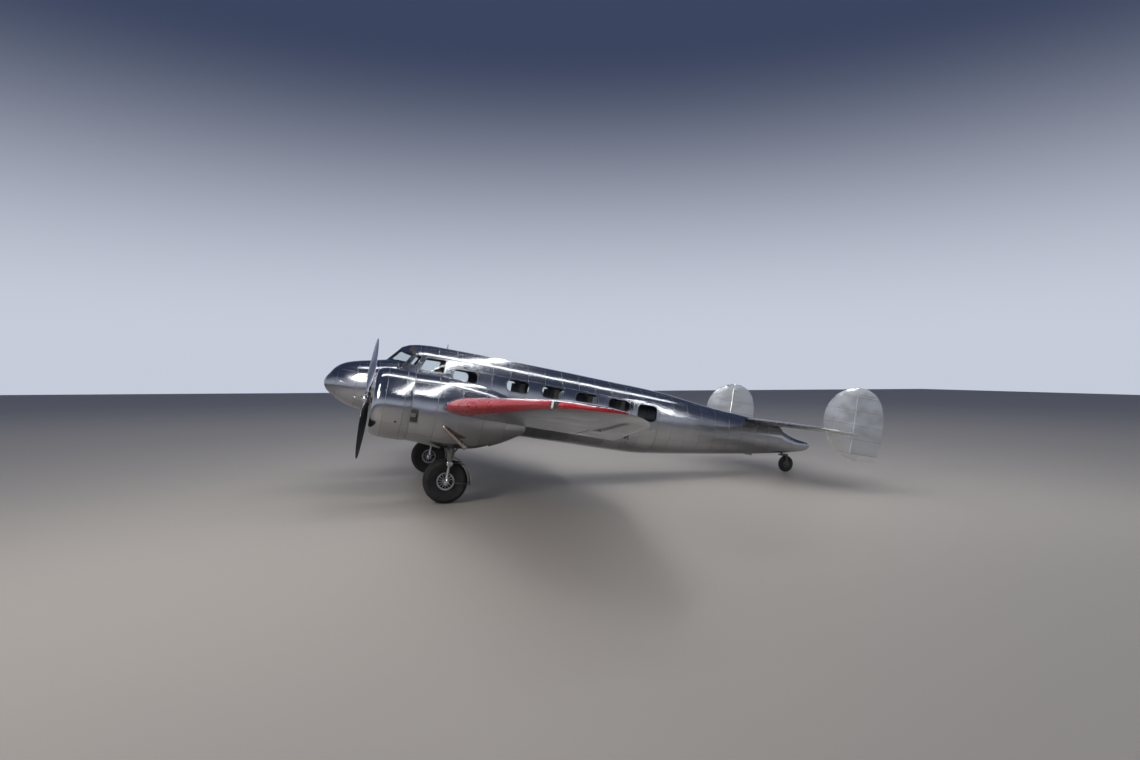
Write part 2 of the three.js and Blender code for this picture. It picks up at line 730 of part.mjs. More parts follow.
const well = block([ENGINE_X - WELL.x, ENGINE_X + WELL.x], WELL.y, [0, WELL.roof]);
const nacelle = nacelleSolid(0).subtract(wingCentre(SEAM)).subtract(grownBody).subtract(well);
addPair('nacelle', nacelle, polished);

// Engine: crankcase, nose case, nine cylinders and the accessory case behind them

const FIREWALL_Y = -895;
const ENGINE_Y = -1290;
const CYLINDER_RADIUS = 74;
const CYLINDER_FOOT = 200;
const CYLINDER_TOP = 588;
const COWL_INNER = 596.5;

const CRANKCASE = [
  [0, FIREWALL_Y - SEAM],
  [250, FIREWALL_Y - SEAM],
  [250, -1120],
  [235, -1150],
  [235, -1420],
  [150, -1470],
  [120, -1560],
  [45, -1575],
  [45, -1600],
  [0, -1600],
];

function engineSolid() {
  const parts = [turned(CRANKCASE, 18)];
  for (let i = 0; i < CYLINDER_COUNT; i += 1) {
    const angle = i / CYLINDER_COUNT * Math.PI * 2;
    const at = (radius) => vec(Math.sin(angle) * radius, ENGINE_Y, Math.cos(angle) * radius);
    parts.push(rod(at(CYLINDER_FOOT), at(CYLINDER_TOP), CYLINDER_RADIUS, 8));
  }
  return joined(parts);
}

const COWL_PROFILE = closedRing([
  [COWL_RADIUS, -935],
  [COWL_RADIUS + 5, -1250],
  [635, -1440],
  [595, -1535],
  [540, -1570],
  [500, -1545],
  [505, -1490],
  [COWL_INNER, -1390],
  [COWL_INNER, -1100],
  [COWL_RADIUS - 14, -935],
]);

// Propeller: two twisted blades on a bare hub

const HUB_PROFILE = [
  [0, -70],
  [95, -55],
  [110, 0],
  [95, 45],
  [60, 62],
  [60, 69.7],
  [0, 69.7],
];
const BARREL = { half: 150, radius: 62 };
const BLADE_SIDES = 8;
const BLADE_SECTIONS = rows([
  [70, 66, 66, 0],
  [230, 90, 70, 52],
  [420, 170, 44, 44],
  [700, 222, 28, 34],
  [980, 218, 20, 27],
  [1200, 176, 14, 23],
  [1320, 112, 10, 21],
  [PROPELLER_RADIUS, 46, 7, 20],
], ['radius', 'width', 'thickness', 'pitch']);

function blade() {
  return loft(BLADE_SECTIONS.map(({ radius, width, thickness, pitch }) => {
    const turn = THREE.MathUtils.degToRad(pitch);
    return Array.from({ length: BLADE_SIDES }, (_, i) => {
      const angle = i / BLADE_SIDES * Math.PI * 2;
      const wide = Math.cos(angle) * width / 2;
      const thick = Math.sin(angle) * thickness / 2;
      const x = wide * Math.cos(turn) - thick * Math.sin(turn);
      return vec(x, wide * Math.sin(turn) + thick * Math.cos(turn), radius);
    });
  }));
}

function propellerSolid() {
  const one = toGeometry(blade());
  const other = one.clone().rotateY(Math.PI);
  const barrel = rod(vec(0, 0, -BARREL.half), vec(0, 0, BARREL.half), BARREL.radius);
  return joined([turned(HUB_PROFILE, 14), barrel, toSolid(one), toSolid(other)]);
}

// Everything on a thrust line is turned about it, so each group lies along Y
for (const [side, name] of [[1, 'left'], [-1, 'right']]) {
  const thrust = new THREE.Group();
  thrust.position.set(side * ENGINE_X, 0, ENGINE_Z);
  attitude.add(thrust);
  addPiece(`engine_${name}`, engineSolid(), engineGrey, thrust);
  addPiece(`cowl_${name}`, turned(COWL_PROFILE, 28), polished, thrust);
  const spin = new THREE.Group();
  spin.name = `propeller_${name}_hub`;
  spin.position.y = PROPELLER_Y;
  spin.rotation.y = PROPELLER_TURN;
  thrust.add(spin);
  addPiece(`propeller_${name}`, propellerSolid(), polished, spin);
}

// Exhaust stacks on the outer side of each nacelle

const STACK_RADIUS = 43;
const stackPath = new THREE.CatmullRomCurve3([
  vec(2560, -340, 1070),
  vec(2690, -250, 1030),
  vec(2738, -50, 890),
  vec(2742, 195, 715),
]);
const stackRing = new THREE.Shape();
stackRing.absarc(0, 0, STACK_RADIUS, 0, Math.PI * 2);
const stackShape = { extrudePath: stackPath, steps: 8, curveSegments: 5, bevelEnabled: false };
const stack = new THREE.ExtrudeGeometry(stackRing, stackShape);
addPair('exhaust', toSolid(stack).subtract(nacelleSolid(SEAM)), exhaustSteel);

// Tail: a flat tailplane on the tail cone, with an oval fin near each end

const TAIL_SECTION = rows([
  [0, 0],
  [0.06, 0.3],
  [0.25, 0.5],
  [0.6, 0.38],
  [1, 0.05],
], ['chord', 'half']);

function symmetricRing(front, rear, thickness, place) {
  const point = (row, sign) => place(front + (rear - front) * row.chord, sign * row.half * thickness);
  const one = TAIL_SECTION.map((row) => point(row, 1));
  const other = TAIL_SECTION.slice(1).reverse().map((row) => point(row, -1));
  return [...one, ...other];
}

const TAILPLANE_ROWS = rows([
  [0, 7080, 8790, 120],
  [1500, 7180, 8780, 110],
  [2660, 7310, 8700, 90],
  [2880, 7380, 8560, 76],
  [3000, 7520, 8400, 50],
  [3050, 7750, 8200, 24],
], ['x', 'front', 'rear', 'thickness']);

function tailplaneWhole(grow) {
  const ring = ({ x, front, rear, thickness }, side) => {
    const place = (y, z) => vec(side * x, y, TAILPLANE_Z + z);
    return symmetricRing(front - grow, rear + grow, thickness + 2 * grow, place);
  };
  const right = TAILPLANE_ROWS.slice(1).reverse().map((row) => ring(row, -1));
  const left = TAILPLANE_ROWS.map((row) => ring(row, 1));
  return loft([...right, ...left]);
}

const FIN_ROWS = rows([
  [1640, 8420, 8700, 20],
  [1700, 8130, 8860, 44],
  [1850, 7840, 8930, 62],
  [2100, 7600, 8965, 74],
  [2400, 7490, 8965, 78],
  [2700, 7530, 8930, 74],
  [2950, 7700, 8830, 62],
  [3120, 7950, 8660, 44],
  [3200, 8190, 8450, 20],
], ['z', 'front', 'rear', 'thickness']);

function finWhole(grow) {
  return loft(FIN_ROWS.map(({ z, front, rear, thickness }) =>
    symmetricRing(front - grow, rear + grow, thickness + 2 * grow, (y, x) => vec(FIN_X + x, y, z))));
}

const RUDDER_SPAN = [1780, 3060];
const rudderEnds = RUDDER_SPAN.map((z) => vec(FIN_X, RUDDER_HINGE_Y + PIN_RADIUS, z));
const rudderNose = vec(FIN_X, RUDDER_HINGE_Y - MOVING_GAP, 0);
const RUDDER_ROOM = 300;
const rudderRoomY = [RUDDER_HINGE_Y - 2 * MOVING_GAP, FAR];
const rudderRoom = block([FIN_X - RUDDER_ROOM, FIN_X + RUDDER_ROOM], rudderRoomY, RUDDER_SPAN);
const STUB_END_Y = RUDDER_HINGE_Y - 45;
const rudderBody = finWhole(0)
  .subtract(beyond(rudderNose, vec(NOSE_SLOPE, -1, 0)))
  .subtract(beyond(rudderNose, vec(-NOSE_SLOPE, -1, 0)))
  .subtract(beyond(vec(0, 0, RUDDER_SPAN[0] + MOVING_GAP), vec(0, 0, -1)))
  .subtract(beyond(vec(0, 0, RUDDER_SPAN[1] - MOVING_GAP), vec(0, 0, 1)));
const rudder = joined([rudderBody, ...rudderEnds.map((at) => pin(at, vec(0, 0, 1)))]);
const stub = tailplaneWhole(0)
  .subtract(beyond(vec(FIN_X, 0, 0), vec(-1, 0, 0)))
  .subtract(beyond(vec(0, STUB_END_Y, 0), vec(0, 1, 0)));
let fin = finWhole(0).subtract(rudderRoom).add(stub);
for (const at of rudderEnds) fin = fin.subtract(pinHole(at, vec(0, 0, 1)));
addPair('fin', fin, polished);
const rudderPair = addPair('rudder', rudder, dopedGrey);
hingeGroup('rudder_left_hinge', rudderEnds[0], vec(0, 0, 1), [rudderPair.left]);
hingeGroup('rudder_right_hinge', across(rudderEnds[0]), vec(0, 0, 1), [rudderPair.right]);

// The elevator is one piece between the fins, its ends cut back to clear the rudders
const ELEVATOR_HALF = 2590;
const ELEVATOR_REAR_HALF = 2300;
const ELEVATOR_REAR_Y = 9000;
const ELEVATOR_ROOM_Z = [TAILPLANE_Z - 200, TAILPLANE_Z + 200];

const elevatorRoom = loft(ELEVATOR_ROOM_Z.map((z) => [
  vec(MOVING_GAP - ELEVATOR_HALF, ELEVATOR_HINGE_Y - MOVING_GAP, z),
  vec(ELEVATOR_HALF - MOVING_GAP, ELEVATOR_HINGE_Y - MOVING_GAP, z),
  vec(ELEVATOR_REAR_HALF - MOVING_GAP, ELEVATOR_REAR_Y, z),
  vec(MOVING_GAP - ELEVATOR_REAR_HALF, ELEVATOR_REAR_Y, z),
]));

const elevatorNose = vec(0, ELEVATOR_HINGE_Y - MOVING_GAP, TAILPLANE_Z);
const elevatorAxisY = ELEVATOR_HINGE_Y + PIN_RADIUS;
const elevatorEnds = [-1, 1].map((side) => vec(side * ELEVATOR_HALF, elevatorAxisY, TAILPLANE_Z));
const elevatorBody = tailplaneWhole(0)
  .intersect(elevatorRoom)
  .subtract(beyond(elevatorNose, vec(0, -1, NOSE_SLOPE)))
  .subtract(beyond(elevatorNose, vec(0, -1, -NOSE_SLOPE)));
const elevatorPins = elevatorEnds.map((at) => pin(at, vec(1, 0, 0)));
const elevator = addPiece('elevator', joined([elevatorBody, ...elevatorPins]), polished);
hingeGroup('elevator_hinge', elevatorEnds[1], vec(1, 0, 0), [elevator]);

// The tailplane ends against the fins, and two lugs on it carry the elevator's pins
const LUG = { x: 46, y: 70, z: 22 };
const finSkin = finWhole(SEAM);
let tailplane = tailplaneWhole(0)
  .subtract(beyond(vec(0, ELEVATOR_HINGE_Y - 2 * MOVING_GAP, 0), vec(0, 1, 0)))
  .subtract(beyond(vec(FIN_X, 0, 0), vec(1, 0, 0)))
  .subtract(beyond(vec(-FIN_X, 0, 0), vec(-1, 0, 0)))
  .subtract(finSkin)
  .subtract(toSolid(mirrored(toGeometry(finSkin))));
for (const at of elevatorEnds) {
  const inner = at.x;
  const outer = at.x + Math.sign(at.x) * LUG.x;
  const x = [Math.min(inner, outer), Math.max(inner, outer)];
  tailplane = tailplane.add(block(x, [at.y - LUG.y, at.y + LUG.z], [at.z - LUG.z, at.z + LUG.z]));
  tailplane = tailplane.subtract(pinHole(at, vec(1, 0, 0)));
}
addPiece('tailplane', tailplane, polished);

// Tail cone, with the saddle that carries the tailplane and the pivot hole of the tail wheel

const SWIVEL_RADIUS = 28;
const SWIVEL_HOLE_Z = [300, 600];
const TAIL_PAD = { x: 70, y: [7350, 7500], z: [1345, 1645] };
const SADDLE_FRONT = { y: 7250, half: 110, foot: 2000 };
const SADDLE_REAR = { y: 8200, half: 30, foot: 1900 };

attitude.updateMatrixWorld(true);
const swivelEnds = SWIVEL_HOLE_Z.map((z) => attitude.worldToLocal(vec(0, TAIL_SWIVEL_Y, z)));
const saddleRing = (frontZ, rearZ) => [
  vec(-SADDLE_FRONT.half, SADDLE_FRONT.y, frontZ),
  vec(SADDLE_FRONT.half, SADDLE_FRONT.y, frontZ),
  vec(SADDLE_REAR.half, SADDLE_REAR.y, rearZ),
  vec(-SADDLE_REAR.half, SADDLE_REAR.y, rearZ),
];
const saddleFeet = saddleRing(SADDLE_FRONT.foot, SADDLE_REAR.foot);
const saddle = loft([saddleFeet, saddleRing(TAILPLANE_Z, TAILPLANE_Z)]);
const tailPad = block([-TAIL_PAD.x, TAIL_PAD.x], TAIL_PAD.y, TAIL_PAD.z);
const tailCone = between(outerBody, TAIL_JOINT_Y + SEAM, FAR)
  .add(saddle)
  .add(tailPad)
  .subtract(tailplaneWhole(SEAM))
  .subtract(rod(...swivelEnds, SWIVEL_RADIUS + 1, 16));
addPiece('tail_cone', tailCone, polished);

// Main gear: a yoke of two legs round each wheel, braced inside the wheel well

const LEG_X = 215;
const LEG_RADIUS = 46;
const LEG_FOOT_Z = -60;
const KNUCKLE = { z: 350, radius: 60, inner: 30, outer: 62 };
const LEG_BLOCK = { x: 38, y: 58, z: [405, 585] };
const CROSS_TUBE = { z: 640, radius: 34 };
const AXLE_COLLAR = 52;
const HUB_HALF = 110;
const BRACES = rows([
  [25, 545, 250, 20],
  [-35, 545, -190, 13],
  [-35, 450, -190, 13],
], ['footY', 'footZ', 'headY', 'radius']);
const BRACE_PAD = { x: 30, y: 35, z: 60 };
const BRACE_HEAD_Z = WELL.roof - 30;

function yoke() {
  const parts = [rod(vec(ENGINE_X - LEG_X, 0, 0), vec(ENGINE_X + LEG_X, 0, 0), AXLE_RADIUS, 12)];
  for (const side of [-1, 1]) {
    const x = ENGINE_X + side * LEG_X;
    const blockX = [x - LEG_BLOCK.x, x + LEG_BLOCK.x];
    const disc = [-KNUCKLE.inner, KNUCKLE.outer].map((offset) => vec(x + side * offset, 0, KNUCKLE.z));
    parts.push(rod(vec(x, 0, LEG_FOOT_Z), vec(x, 0, WELL.roof - SEAM), LEG_RADIUS));
    parts.push(rod(...disc, KNUCKLE.radius, 14));
    parts.push(block(blockX, [-LEG_BLOCK.y, LEG_BLOCK.y], LEG_BLOCK.z));
    parts.push(rod(vec(ENGINE_X + side * (HUB_HALF + SEAM), 0, 0), vec(x, 0, 0), AXLE_COLLAR));
    for (const { footY, footZ, headY, radius } of BRACES) {
      const padY = [headY - BRACE_PAD.y, headY + BRACE_PAD.y];
      const padZ = [WELL.roof - BRACE_PAD.z, WELL.roof - SEAM];
      parts.push(rod(vec(x, footY, footZ), vec(x, headY, BRACE_HEAD_Z), radius, 8));
      parts.push(block([x - BRACE_PAD.x, x + BRACE_PAD.x], padY, padZ));
    }
  }
  const crossEnds = [-LEG_X, LEG_X].map((offset) => vec(ENGINE_X + offset, 0, CROSS_TUBE.z));
  parts.push(rod(...crossEnds, CROSS_TUBE.radius));
  return joined(parts);
}
addPair('gear_leg', yoke(), darkSteel);

// Mudguard: a thin curved sheet behind the wheel, on a bracket and a stay from each leg
const GUARD_RADIUS = 462;
const GUARD_THICKNESS = 5;
const GUARD_HALF = 165;
const GUARD_ARC = THREE.MathUtils.degToRad(88);
const BRACKET = { x: 10, y: [-20, 290], z: [360, 385] };
const STAY = { fromX: 203, fromY: 53.2, toX: 158, z: 12, radius: 7 };

function mudguard() {
  const arc = new THREE.Shape();
  arc.absarc(0, 0, GUARD_RADIUS, 0, GUARD_ARC, false);
  arc.absarc(0, 0, GUARD_RADIUS + GUARD_THICKNESS, GUARD_ARC, 0, true);
  arc.closePath();
  const parts = [sweptAcross(arc, ENGINE_X - GUARD_HALF, ENGINE_X + GUARD_HALF, 8)];
  for (const side of [-1, 1]) {
    const inner = ENGINE_X + side * (LEG_X - LEG_RADIUS - BRACKET.x);
    const outer = ENGINE_X + side * (LEG_X - LEG_RADIUS * Math.cos(Math.PI / ROD_SIDES) - SEAM);
    parts.push(block([Math.min(inner, outer), Math.max(inner, outer)], BRACKET.y, BRACKET.z));
    const from = vec(ENGINE_X + side * STAY.fromX, STAY.fromY, STAY.z);
    parts.push(rod(from, vec(ENGINE_X + side * STAY.toX, GUARD_RADIUS + 2, STAY.z), STAY.radius, 8));
  }
  return joined(parts);
}
addPair('mudguard', mudguard(), polished);

// Wheels turn in the frame of the ground, so that each tyre stands on its lowest point

const TYRE_HALF = TYRE_WIDTH / 2;
const BEAD_RADIUS = 188;
const TYRE_PROFILE = closedRing([
  [BEAD_RADIUS, -80],
  [260, -TYRE_HALF * 0.88],
  [335, -TYRE_HALF],
  [390, -TYRE_HALF * 0.82],
  [WHEEL_RADIUS, -TYRE_HALF * 0.3],
  [WHEEL_RADIUS, TYRE_HALF * 0.3],
  [390, TYRE_HALF * 0.82],
  [335, TYRE_HALF],
  [260, TYRE_HALF * 0.88],
  [BEAD_RADIUS, 80],
]);
const RIM_RADIUS = 186.5;
const BORE_RADIUS = AXLE_RADIUS + 1.2;
const RIM_PROFILE = closedRing([
  [BORE_RADIUS, -HUB_HALF],
  [70, -HUB_HALF],
  [76, -60],
  [140, -34],
  [168, -82],
  [RIM_RADIUS, -82],
  [RIM_RADIUS, 82],
  [168, 82],
  [140, 34],
  [76, 60],
  [70, HUB_HALF],
  [BORE_RADIUS, HUB_HALF],
]);
const SPOKES = { count: 11, middle: 114, length: 112, width: 124, thickness: 11 };

function rimSolid() {
  const parts = [turned(RIM_PROFILE, 22)];
  for (let i = 0; i < SPOKES.count; i += 1) {
    const geometry = new THREE.BoxGeometry(SPOKES.length, SPOKES.width, SPOKES.thickness);
    geometry.translate(SPOKES.middle, 0, 0);
    geometry.rotateY(i / SPOKES.count * Math.PI * 2);
    parts.push(toSolid(geometry));
  }
  return joined(parts);
}

for (const [side, name] of [[1, 'left'], [-1, 'right']]) {
  const wheel = new THREE.Group();
  wheel.name = `wheel_${name}_axle`;
  wheel.position.set(side * ENGINE_X, 0, WHEEL_RADIUS);
  wheel.rotation.z = -Math.PI / 2;
  airframe.add(wheel);
  addPiece(`tyre_${name}`, turned(TYRE_PROFILE, 28), rubber, wheel);
  addPiece(`wheel_rim_${name}`, rimSolid(), polished, wheel);
}

// Tail wheel: a fork that swivels under the tail cone, trailing its wheel

const FORK_X = 68;
const FORK_HALF = 10;
const CROWN_Z = [412, 450];
const STEM_Z = [420, 590];
const CROWN_FRONT = -50;
const BLADE_FRONT = -35;
const FORK_OVERRUN = 20;
const FORK_DROP = 30;
const TAIL_AXLE_RADIUS = 14;
const TAIL_TYRE_HALF = 46;
const tailSwivel = new THREE.Group();
tailSwivel.name = 'tail_wheel_swivel';
tailSwivel.position.y = TAIL_SWIVEL_Y;
airframe.add(tailSwivel);
const trail = TAIL_WHEEL_Y - TAIL_SWIVEL_Y;
const crownX = [-FORK_X - FORK_HALF, FORK_X + FORK_HALF];
const tailAxleEnds = [-FORK_X, FORK_X].map((x) => vec(x, trail, TAIL_WHEEL_RADIUS));
const forkParts = [
  rod(vec(0, 0, STEM_Z[0]), vec(0, 0, STEM_Z[1]), SWIVEL_RADIUS, 16),
  block(crownX, [CROWN_FRONT, trail + FORK_OVERRUN], CROWN_Z),
  rod(...tailAxleEnds, TAIL_AXLE_RADIUS, 12),
];
for (const x of [-FORK_X, FORK_X]) {
  const bladeZ = [TAIL_WHEEL_RADIUS - FORK_DROP, CROWN_Z[0] + FORK_OVERRUN];
  const bladeY = [trail + BLADE_FRONT, trail + FORK_OVERRUN];
  forkParts.push(block([x - FORK_HALF, x + FORK_HALF], bladeY, bladeZ));
}
addPiece('tail_wheel_fork', joined(forkParts), darkSteel, tailSwivel);

const tailAxle = new THREE.Group();
tailAxle.name = 'tail_wheel_axle';
tailAxle.position.set(0, trail, TAIL_WHEEL_RADIUS);
tailAxle.rotation.z = -Math.PI / 2;
tailSwivel.add(tailAxle);
const TAIL_TYRE_PROFILE = closedRing([
  [92, -34],
  [130, -TAIL_TYRE_HALF],
  [178, -TAIL_TYRE_HALF * 0.8],
  [TAIL_WHEEL_RADIUS, -14],
  [TAIL_WHEEL_RADIUS, 14],
  [178, TAIL_TYRE_HALF * 0.8],
  [130, TAIL_TYRE_HALF],
  [92, 34],
]);
const TAIL_RIM_PROFILE = closedRing([
  [14.8, -57],
  [30, -57],
  [36, -16],
  [78, -16],
  [80, -34],
  [90.4, -34],
  [90.4, 34],
  [80, 34],
  [78, 16],
  [36, 16],
  [30, 57],
  [14.8, 57],
]);
addPiece('tail_tyre', turned(TAIL_TYRE_PROFILE, 20), rubber, tailAxle);
addPiece('tail_wheel_rim', turned(TAIL_RIM_PROFILE, 14), polished, tailAxle);

// The origin is on the ground, at the middle of the box round the whole aircraft
airframe.updateMatrixWorld(true);
const extent = new THREE.Box3().setFromObject(airframe, true);
const middle = extent.getCenter(new THREE.Vector3());
for (const child of airframe.children) child.position.sub(vec(middle.x, middle.y, extent.min.z));

export default airframe;
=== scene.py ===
import math

import bmesh
import bpy
from mathutils import Matrix, Vector


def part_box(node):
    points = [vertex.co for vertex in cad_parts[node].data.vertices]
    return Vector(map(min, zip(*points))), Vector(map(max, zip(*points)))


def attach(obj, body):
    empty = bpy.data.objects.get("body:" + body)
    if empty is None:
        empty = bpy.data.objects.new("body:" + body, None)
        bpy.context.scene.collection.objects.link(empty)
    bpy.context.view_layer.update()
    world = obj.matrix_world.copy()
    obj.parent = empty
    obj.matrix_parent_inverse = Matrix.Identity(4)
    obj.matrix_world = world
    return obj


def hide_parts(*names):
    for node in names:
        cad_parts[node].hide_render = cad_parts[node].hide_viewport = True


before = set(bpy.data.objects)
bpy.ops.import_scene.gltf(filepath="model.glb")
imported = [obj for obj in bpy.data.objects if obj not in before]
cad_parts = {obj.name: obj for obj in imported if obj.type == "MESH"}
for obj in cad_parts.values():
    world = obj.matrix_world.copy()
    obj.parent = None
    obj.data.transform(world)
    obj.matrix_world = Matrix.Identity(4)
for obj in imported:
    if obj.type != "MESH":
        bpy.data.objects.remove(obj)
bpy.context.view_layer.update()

# Fuselage
# A tube of polished sheet riveted to rings and stringers, in four lengths, with a door at the rear left. It
# is built level and parks nose up. Lengths here are in metres from the main axle, in the level attitude. A
# row gives a place along the body, its bottom, its top and its half width.
axle_low, axle_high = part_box("wheel_rim_left")
AXLE = Vector((0, (axle_low.y + axle_high.y) / 2, (axle_low.z + axle_high.z) / 2))
ON_AXLE = Matrix.Translation(AXLE)
NOSE_UP = math.radians(10)
PARKED = ON_AXLE @ Matrix.Rotation(-NOSE_UP, 4, "X")
LEVEL = PARKED.inverted()
NOSE = [
    (-2.592, 1.425, 1.465, 0.022),
    (-2.572, 1.362, 1.530, 0.105),
    (-2.525, 1.290, 1.610, 0.190),
    (-2.415, 1.205, 1.770, 0.310),
    (-2.235, 1.095, 1.900, 0.440),
    (-2.000, 1.010, 1.980, 0.540),
    (-1.680, 0.960, 2.052, 0.630),
    (-1.400, 0.945, 2.118, 0.690),
    (-1.000, 0.940, 2.190, 0.745),
    (-0.620, 1.000, 2.200, 0.700),
]
CABIN = [
    (-1.640, 1.200, 2.330, 0.590),
    (-1.180, 1.050, 2.420, 0.702),
    (-1.000, 0.945, 2.505, 0.744),
    (-0.680, 0.940, 2.558, 0.775),
    (-0.150, 0.940, 2.570, 0.795),
    (2.400, 0.938, 2.535, 0.800),
    (3.700, 0.948, 2.500, 0.765),
    (4.400, 0.965, 2.485, 0.720),
    (5.100, 1.045, 2.442, 0.650),
    (5.950, 1.160, 2.345, 0.530),
    (6.600, 1.250, 2.290, 0.435),
    (7.000, 1.310, 2.275, 0.375),
    (7.500, 1.385, 2.235, 0.305),
    (7.900, 1.448, 2.190, 0.245),
    (8.180, 1.501, 2.130, 0.200),
    (8.250, 1.514, 2.060, 0.190),
    (8.650, 1.590, 1.930, 0.130),
    (9.000, 1.690, 1.880, 0.060),
    (9.080, 1.760, 1.840, 0.020),
]
SQUARENESS = 2.35
BODY_MIDDLE_Z, BODY_RADIUS = 1.75, 0.8


def calc(tree, operation, *values):
    """One step of arithmetic in a material, on numbers or sockets."""
    node = tree.nodes.new("ShaderNodeMath")
    node.operation = operation
    for socket, value in zip(node.inputs, values):
        if isinstance(value, (int, float)):
            socket.default_value = value
        else:
            tree.links.new(value, socket)
    return node.outputs[0]


def fade(tree, distance, full, none):
    """1 up to one distance, and 0 beyond the other."""
    node = tree.nodes.new("ShaderNodeMapRange")
    node.interpolation_type = "SMOOTHSTEP"
    tree.links.new(distance, node.inputs["Value"])
    for label, value in (("From Min", full), ("From Max", none), ("To Min", 1), ("To Max", 0)):
        node.inputs[label].default_value = value
    return node.outputs["Result"]


def mixed(tree, share, first, second):
    """A blend of two colours, by a share from 0 to 1."""
    node = tree.nodes.new("ShaderNodeMix")
    node.data_type = "RGBA"
    for socket, value in ((node.inputs[0], share), (node.inputs[6], first), (node.inputs[7], second)):
        if isinstance(value, tuple):
            socket.default_value = (*value, 1)
        elif isinstance(value, (int, float)):
            socket.default_value = value
        else:
            tree.links.new(value, socket)
    return node.outputs[2]


def noise(tree, vector, scale, detail=2, roughness=0.5):
    node = tree.nodes.new("ShaderNodeTexNoise")
    node.inputs["Scale"].default_value = scale
    node.inputs["Detail"].default_value = detail
    node.inputs["Roughness"].default_value = roughness
    tree.links.new(vector, node.inputs["Vector"])
    return node.outputs["Fac"]


def new_group(name, inputs, outputs):
    """An empty group of shader nodes, with named inputs (None for a vector) and number outputs."""
    tree = bpy.data.node_groups.new(name, "ShaderNodeTree")
    for label, value in inputs:
        kind = "NodeSocketVector" if value is None else "NodeSocketFloat"
        socket = tree.interface.new_socket(name=label, in_out="INPUT", socket_type=kind)
        if value is not None:
            socket.default_value = value
    for label in outputs:
        tree.interface.new_socket(name=label, in_out="OUTPUT", socket_type="NodeSocketFloat")
    return tree, tree.nodes.new("NodeGroupInput").outputs, tree.nodes.new("NodeGroupOutput").inputs


def use_group(tree, group, **values):
    node = tree.nodes.new("ShaderNodeGroup")
    node.node_tree = group
    for label, value in values.items():
        socket = node.inputs[label.replace("_", " ")]
        if isinstance(value, (int, float)):
            socket.default_value = value
        else:
            tree.links.new(value, socket)
    return node.outputs


# Riveted sheet: seams where sheets lap, rows of flush rivets beside them, and each sheet a little different
ROW_FROM_SEAM = 0.016
RIVET_EDGE, RING_SEAM, STRINGER_SEAM = (0.0016, 0.0028), (0.0010, 0.0040), (0.0006, 0.0026)
riveted_sheet, given, out = new_group(
    "riveted_sheet",
    [("Along", 0.0), ("Around", 0.0), ("Along Pitch", 0.39), ("Around Pitch", 0.42), ("Rivet Pitch", 0.03)],
    ["Seam", "Rivet", "Sheet"],
)


def to_line(value, pitch):
    share = calc(riveted_sheet, "DIVIDE", value, pitch)
    return calc(riveted_sheet, "MULTIPLY", calc(riveted_sheet, "PINGPONG", share, 0.5), pitch)


def rivet_row(from_seam, down_row):
    off = calc(riveted_sheet, "SUBTRACT", from_seam, ROW_FROM_SEAM)
    squares = [calc(riveted_sheet, "POWER", distance, 2) for distance in (off, down_row)]
    return fade(riveted_sheet, calc(riveted_sheet, "SQRT", calc(riveted_sheet, "ADD", *squares)), *RIVET_EDGE)


from_ring = to_line(given["Along"], given["Along Pitch"])
from_stringer = to_line(given["Around"], given["Around Pitch"])
ring_seam = fade(riveted_sheet, from_ring, *RING_SEAM)
stringer_seam = fade(riveted_sheet, from_stringer, *STRINGER_SEAM)
riveted_sheet.links.new(calc(riveted_sheet, "MAXIMUM", ring_seam, stringer_seam), out["Seam"])
ring_rivets = rivet_row(from_ring, to_line(given["Around"], given["Rivet Pitch"]))
stringer_rivets = rivet_row(from_stringer, to_line(given["Along"], given["Rivet Pitch"]))
riveted_sheet.links.new(calc(riveted_sheet, "MAXIMUM", ring_rivets, stringer_rivets), out["Rivet"])
sheet_number = riveted_sheet.nodes.new("ShaderNodeCombineXYZ")
for place, (label, pitch) in enumerate((("Along", "Along Pitch"), ("Around", "Around Pitch"))):
    share = calc(riveted_sheet, "DIVIDE", given[label], given[pitch])
    riveted_sheet.links.new(calc(riveted_sheet, "FLOOR", share), sheet_number.inputs[place])
chance = riveted_sheet.nodes.new("ShaderNodeTexWhiteNoise")
chance.noise_dimensions = "2D"
riveted_sheet.links.new(sheet_number.outputs[0], chance.inputs["Vector"])
riveted_sheet.links.new(chance.outputs["Value"], out["Sheet"])

# Polished metal: the slow waves of thin sheet, the haze left by the polisher, and fine scratches
polished_face, given, out = new_group("polished_face", [("Vector", None)], ["Wave", "Haze", "Scratch"])
polished_face.links.new(noise(polished_face, given["Vector"], 2.6, 1.5), out["Wave"])
polished_face.links.new(noise(polished_face, given["Vector"], 11, 7, 0.65), out["Haze"])
long_grain = polished_face.nodes.new("ShaderNodeMapping")
long_grain.inputs["Scale"].default_value = (6, 1, 6)
polished_face.links.new(given["Vector"], long_grain.inputs["Vector"])
polished_face.links.new(noise(polished_face, long_grain.outputs[0], 70, 4, 0.7), out["Scratch"])


def level_place(tree):
    """The place of a point in the level attitude: the whole vector, and its three parts."""
    source = tree.nodes.new("ShaderNodeTexCoord")
    turn = tree.nodes.new("ShaderNodeMapping")
    turn.inputs["Location"].default_value = LEVEL.to_translation()
    turn.inputs["Rotation"].default_value = LEVEL.to_euler()
    tree.links.new(source.outputs["Object"], turn.inputs["Vector"])
    parts = tree.nodes.new("ShaderNodeSeparateXYZ")
    tree.links.new(turn.outputs[0], parts.inputs[0])
    return turn.outputs[0], parts.outputs[0], parts.outputs[1], parts.outputs[2]


def empty_material(name):
    material = bpy.data.materials.new(name)
    material.use_nodes = True
    return material, material.node_tree, material.node_tree.nodes["Principled BSDF"]


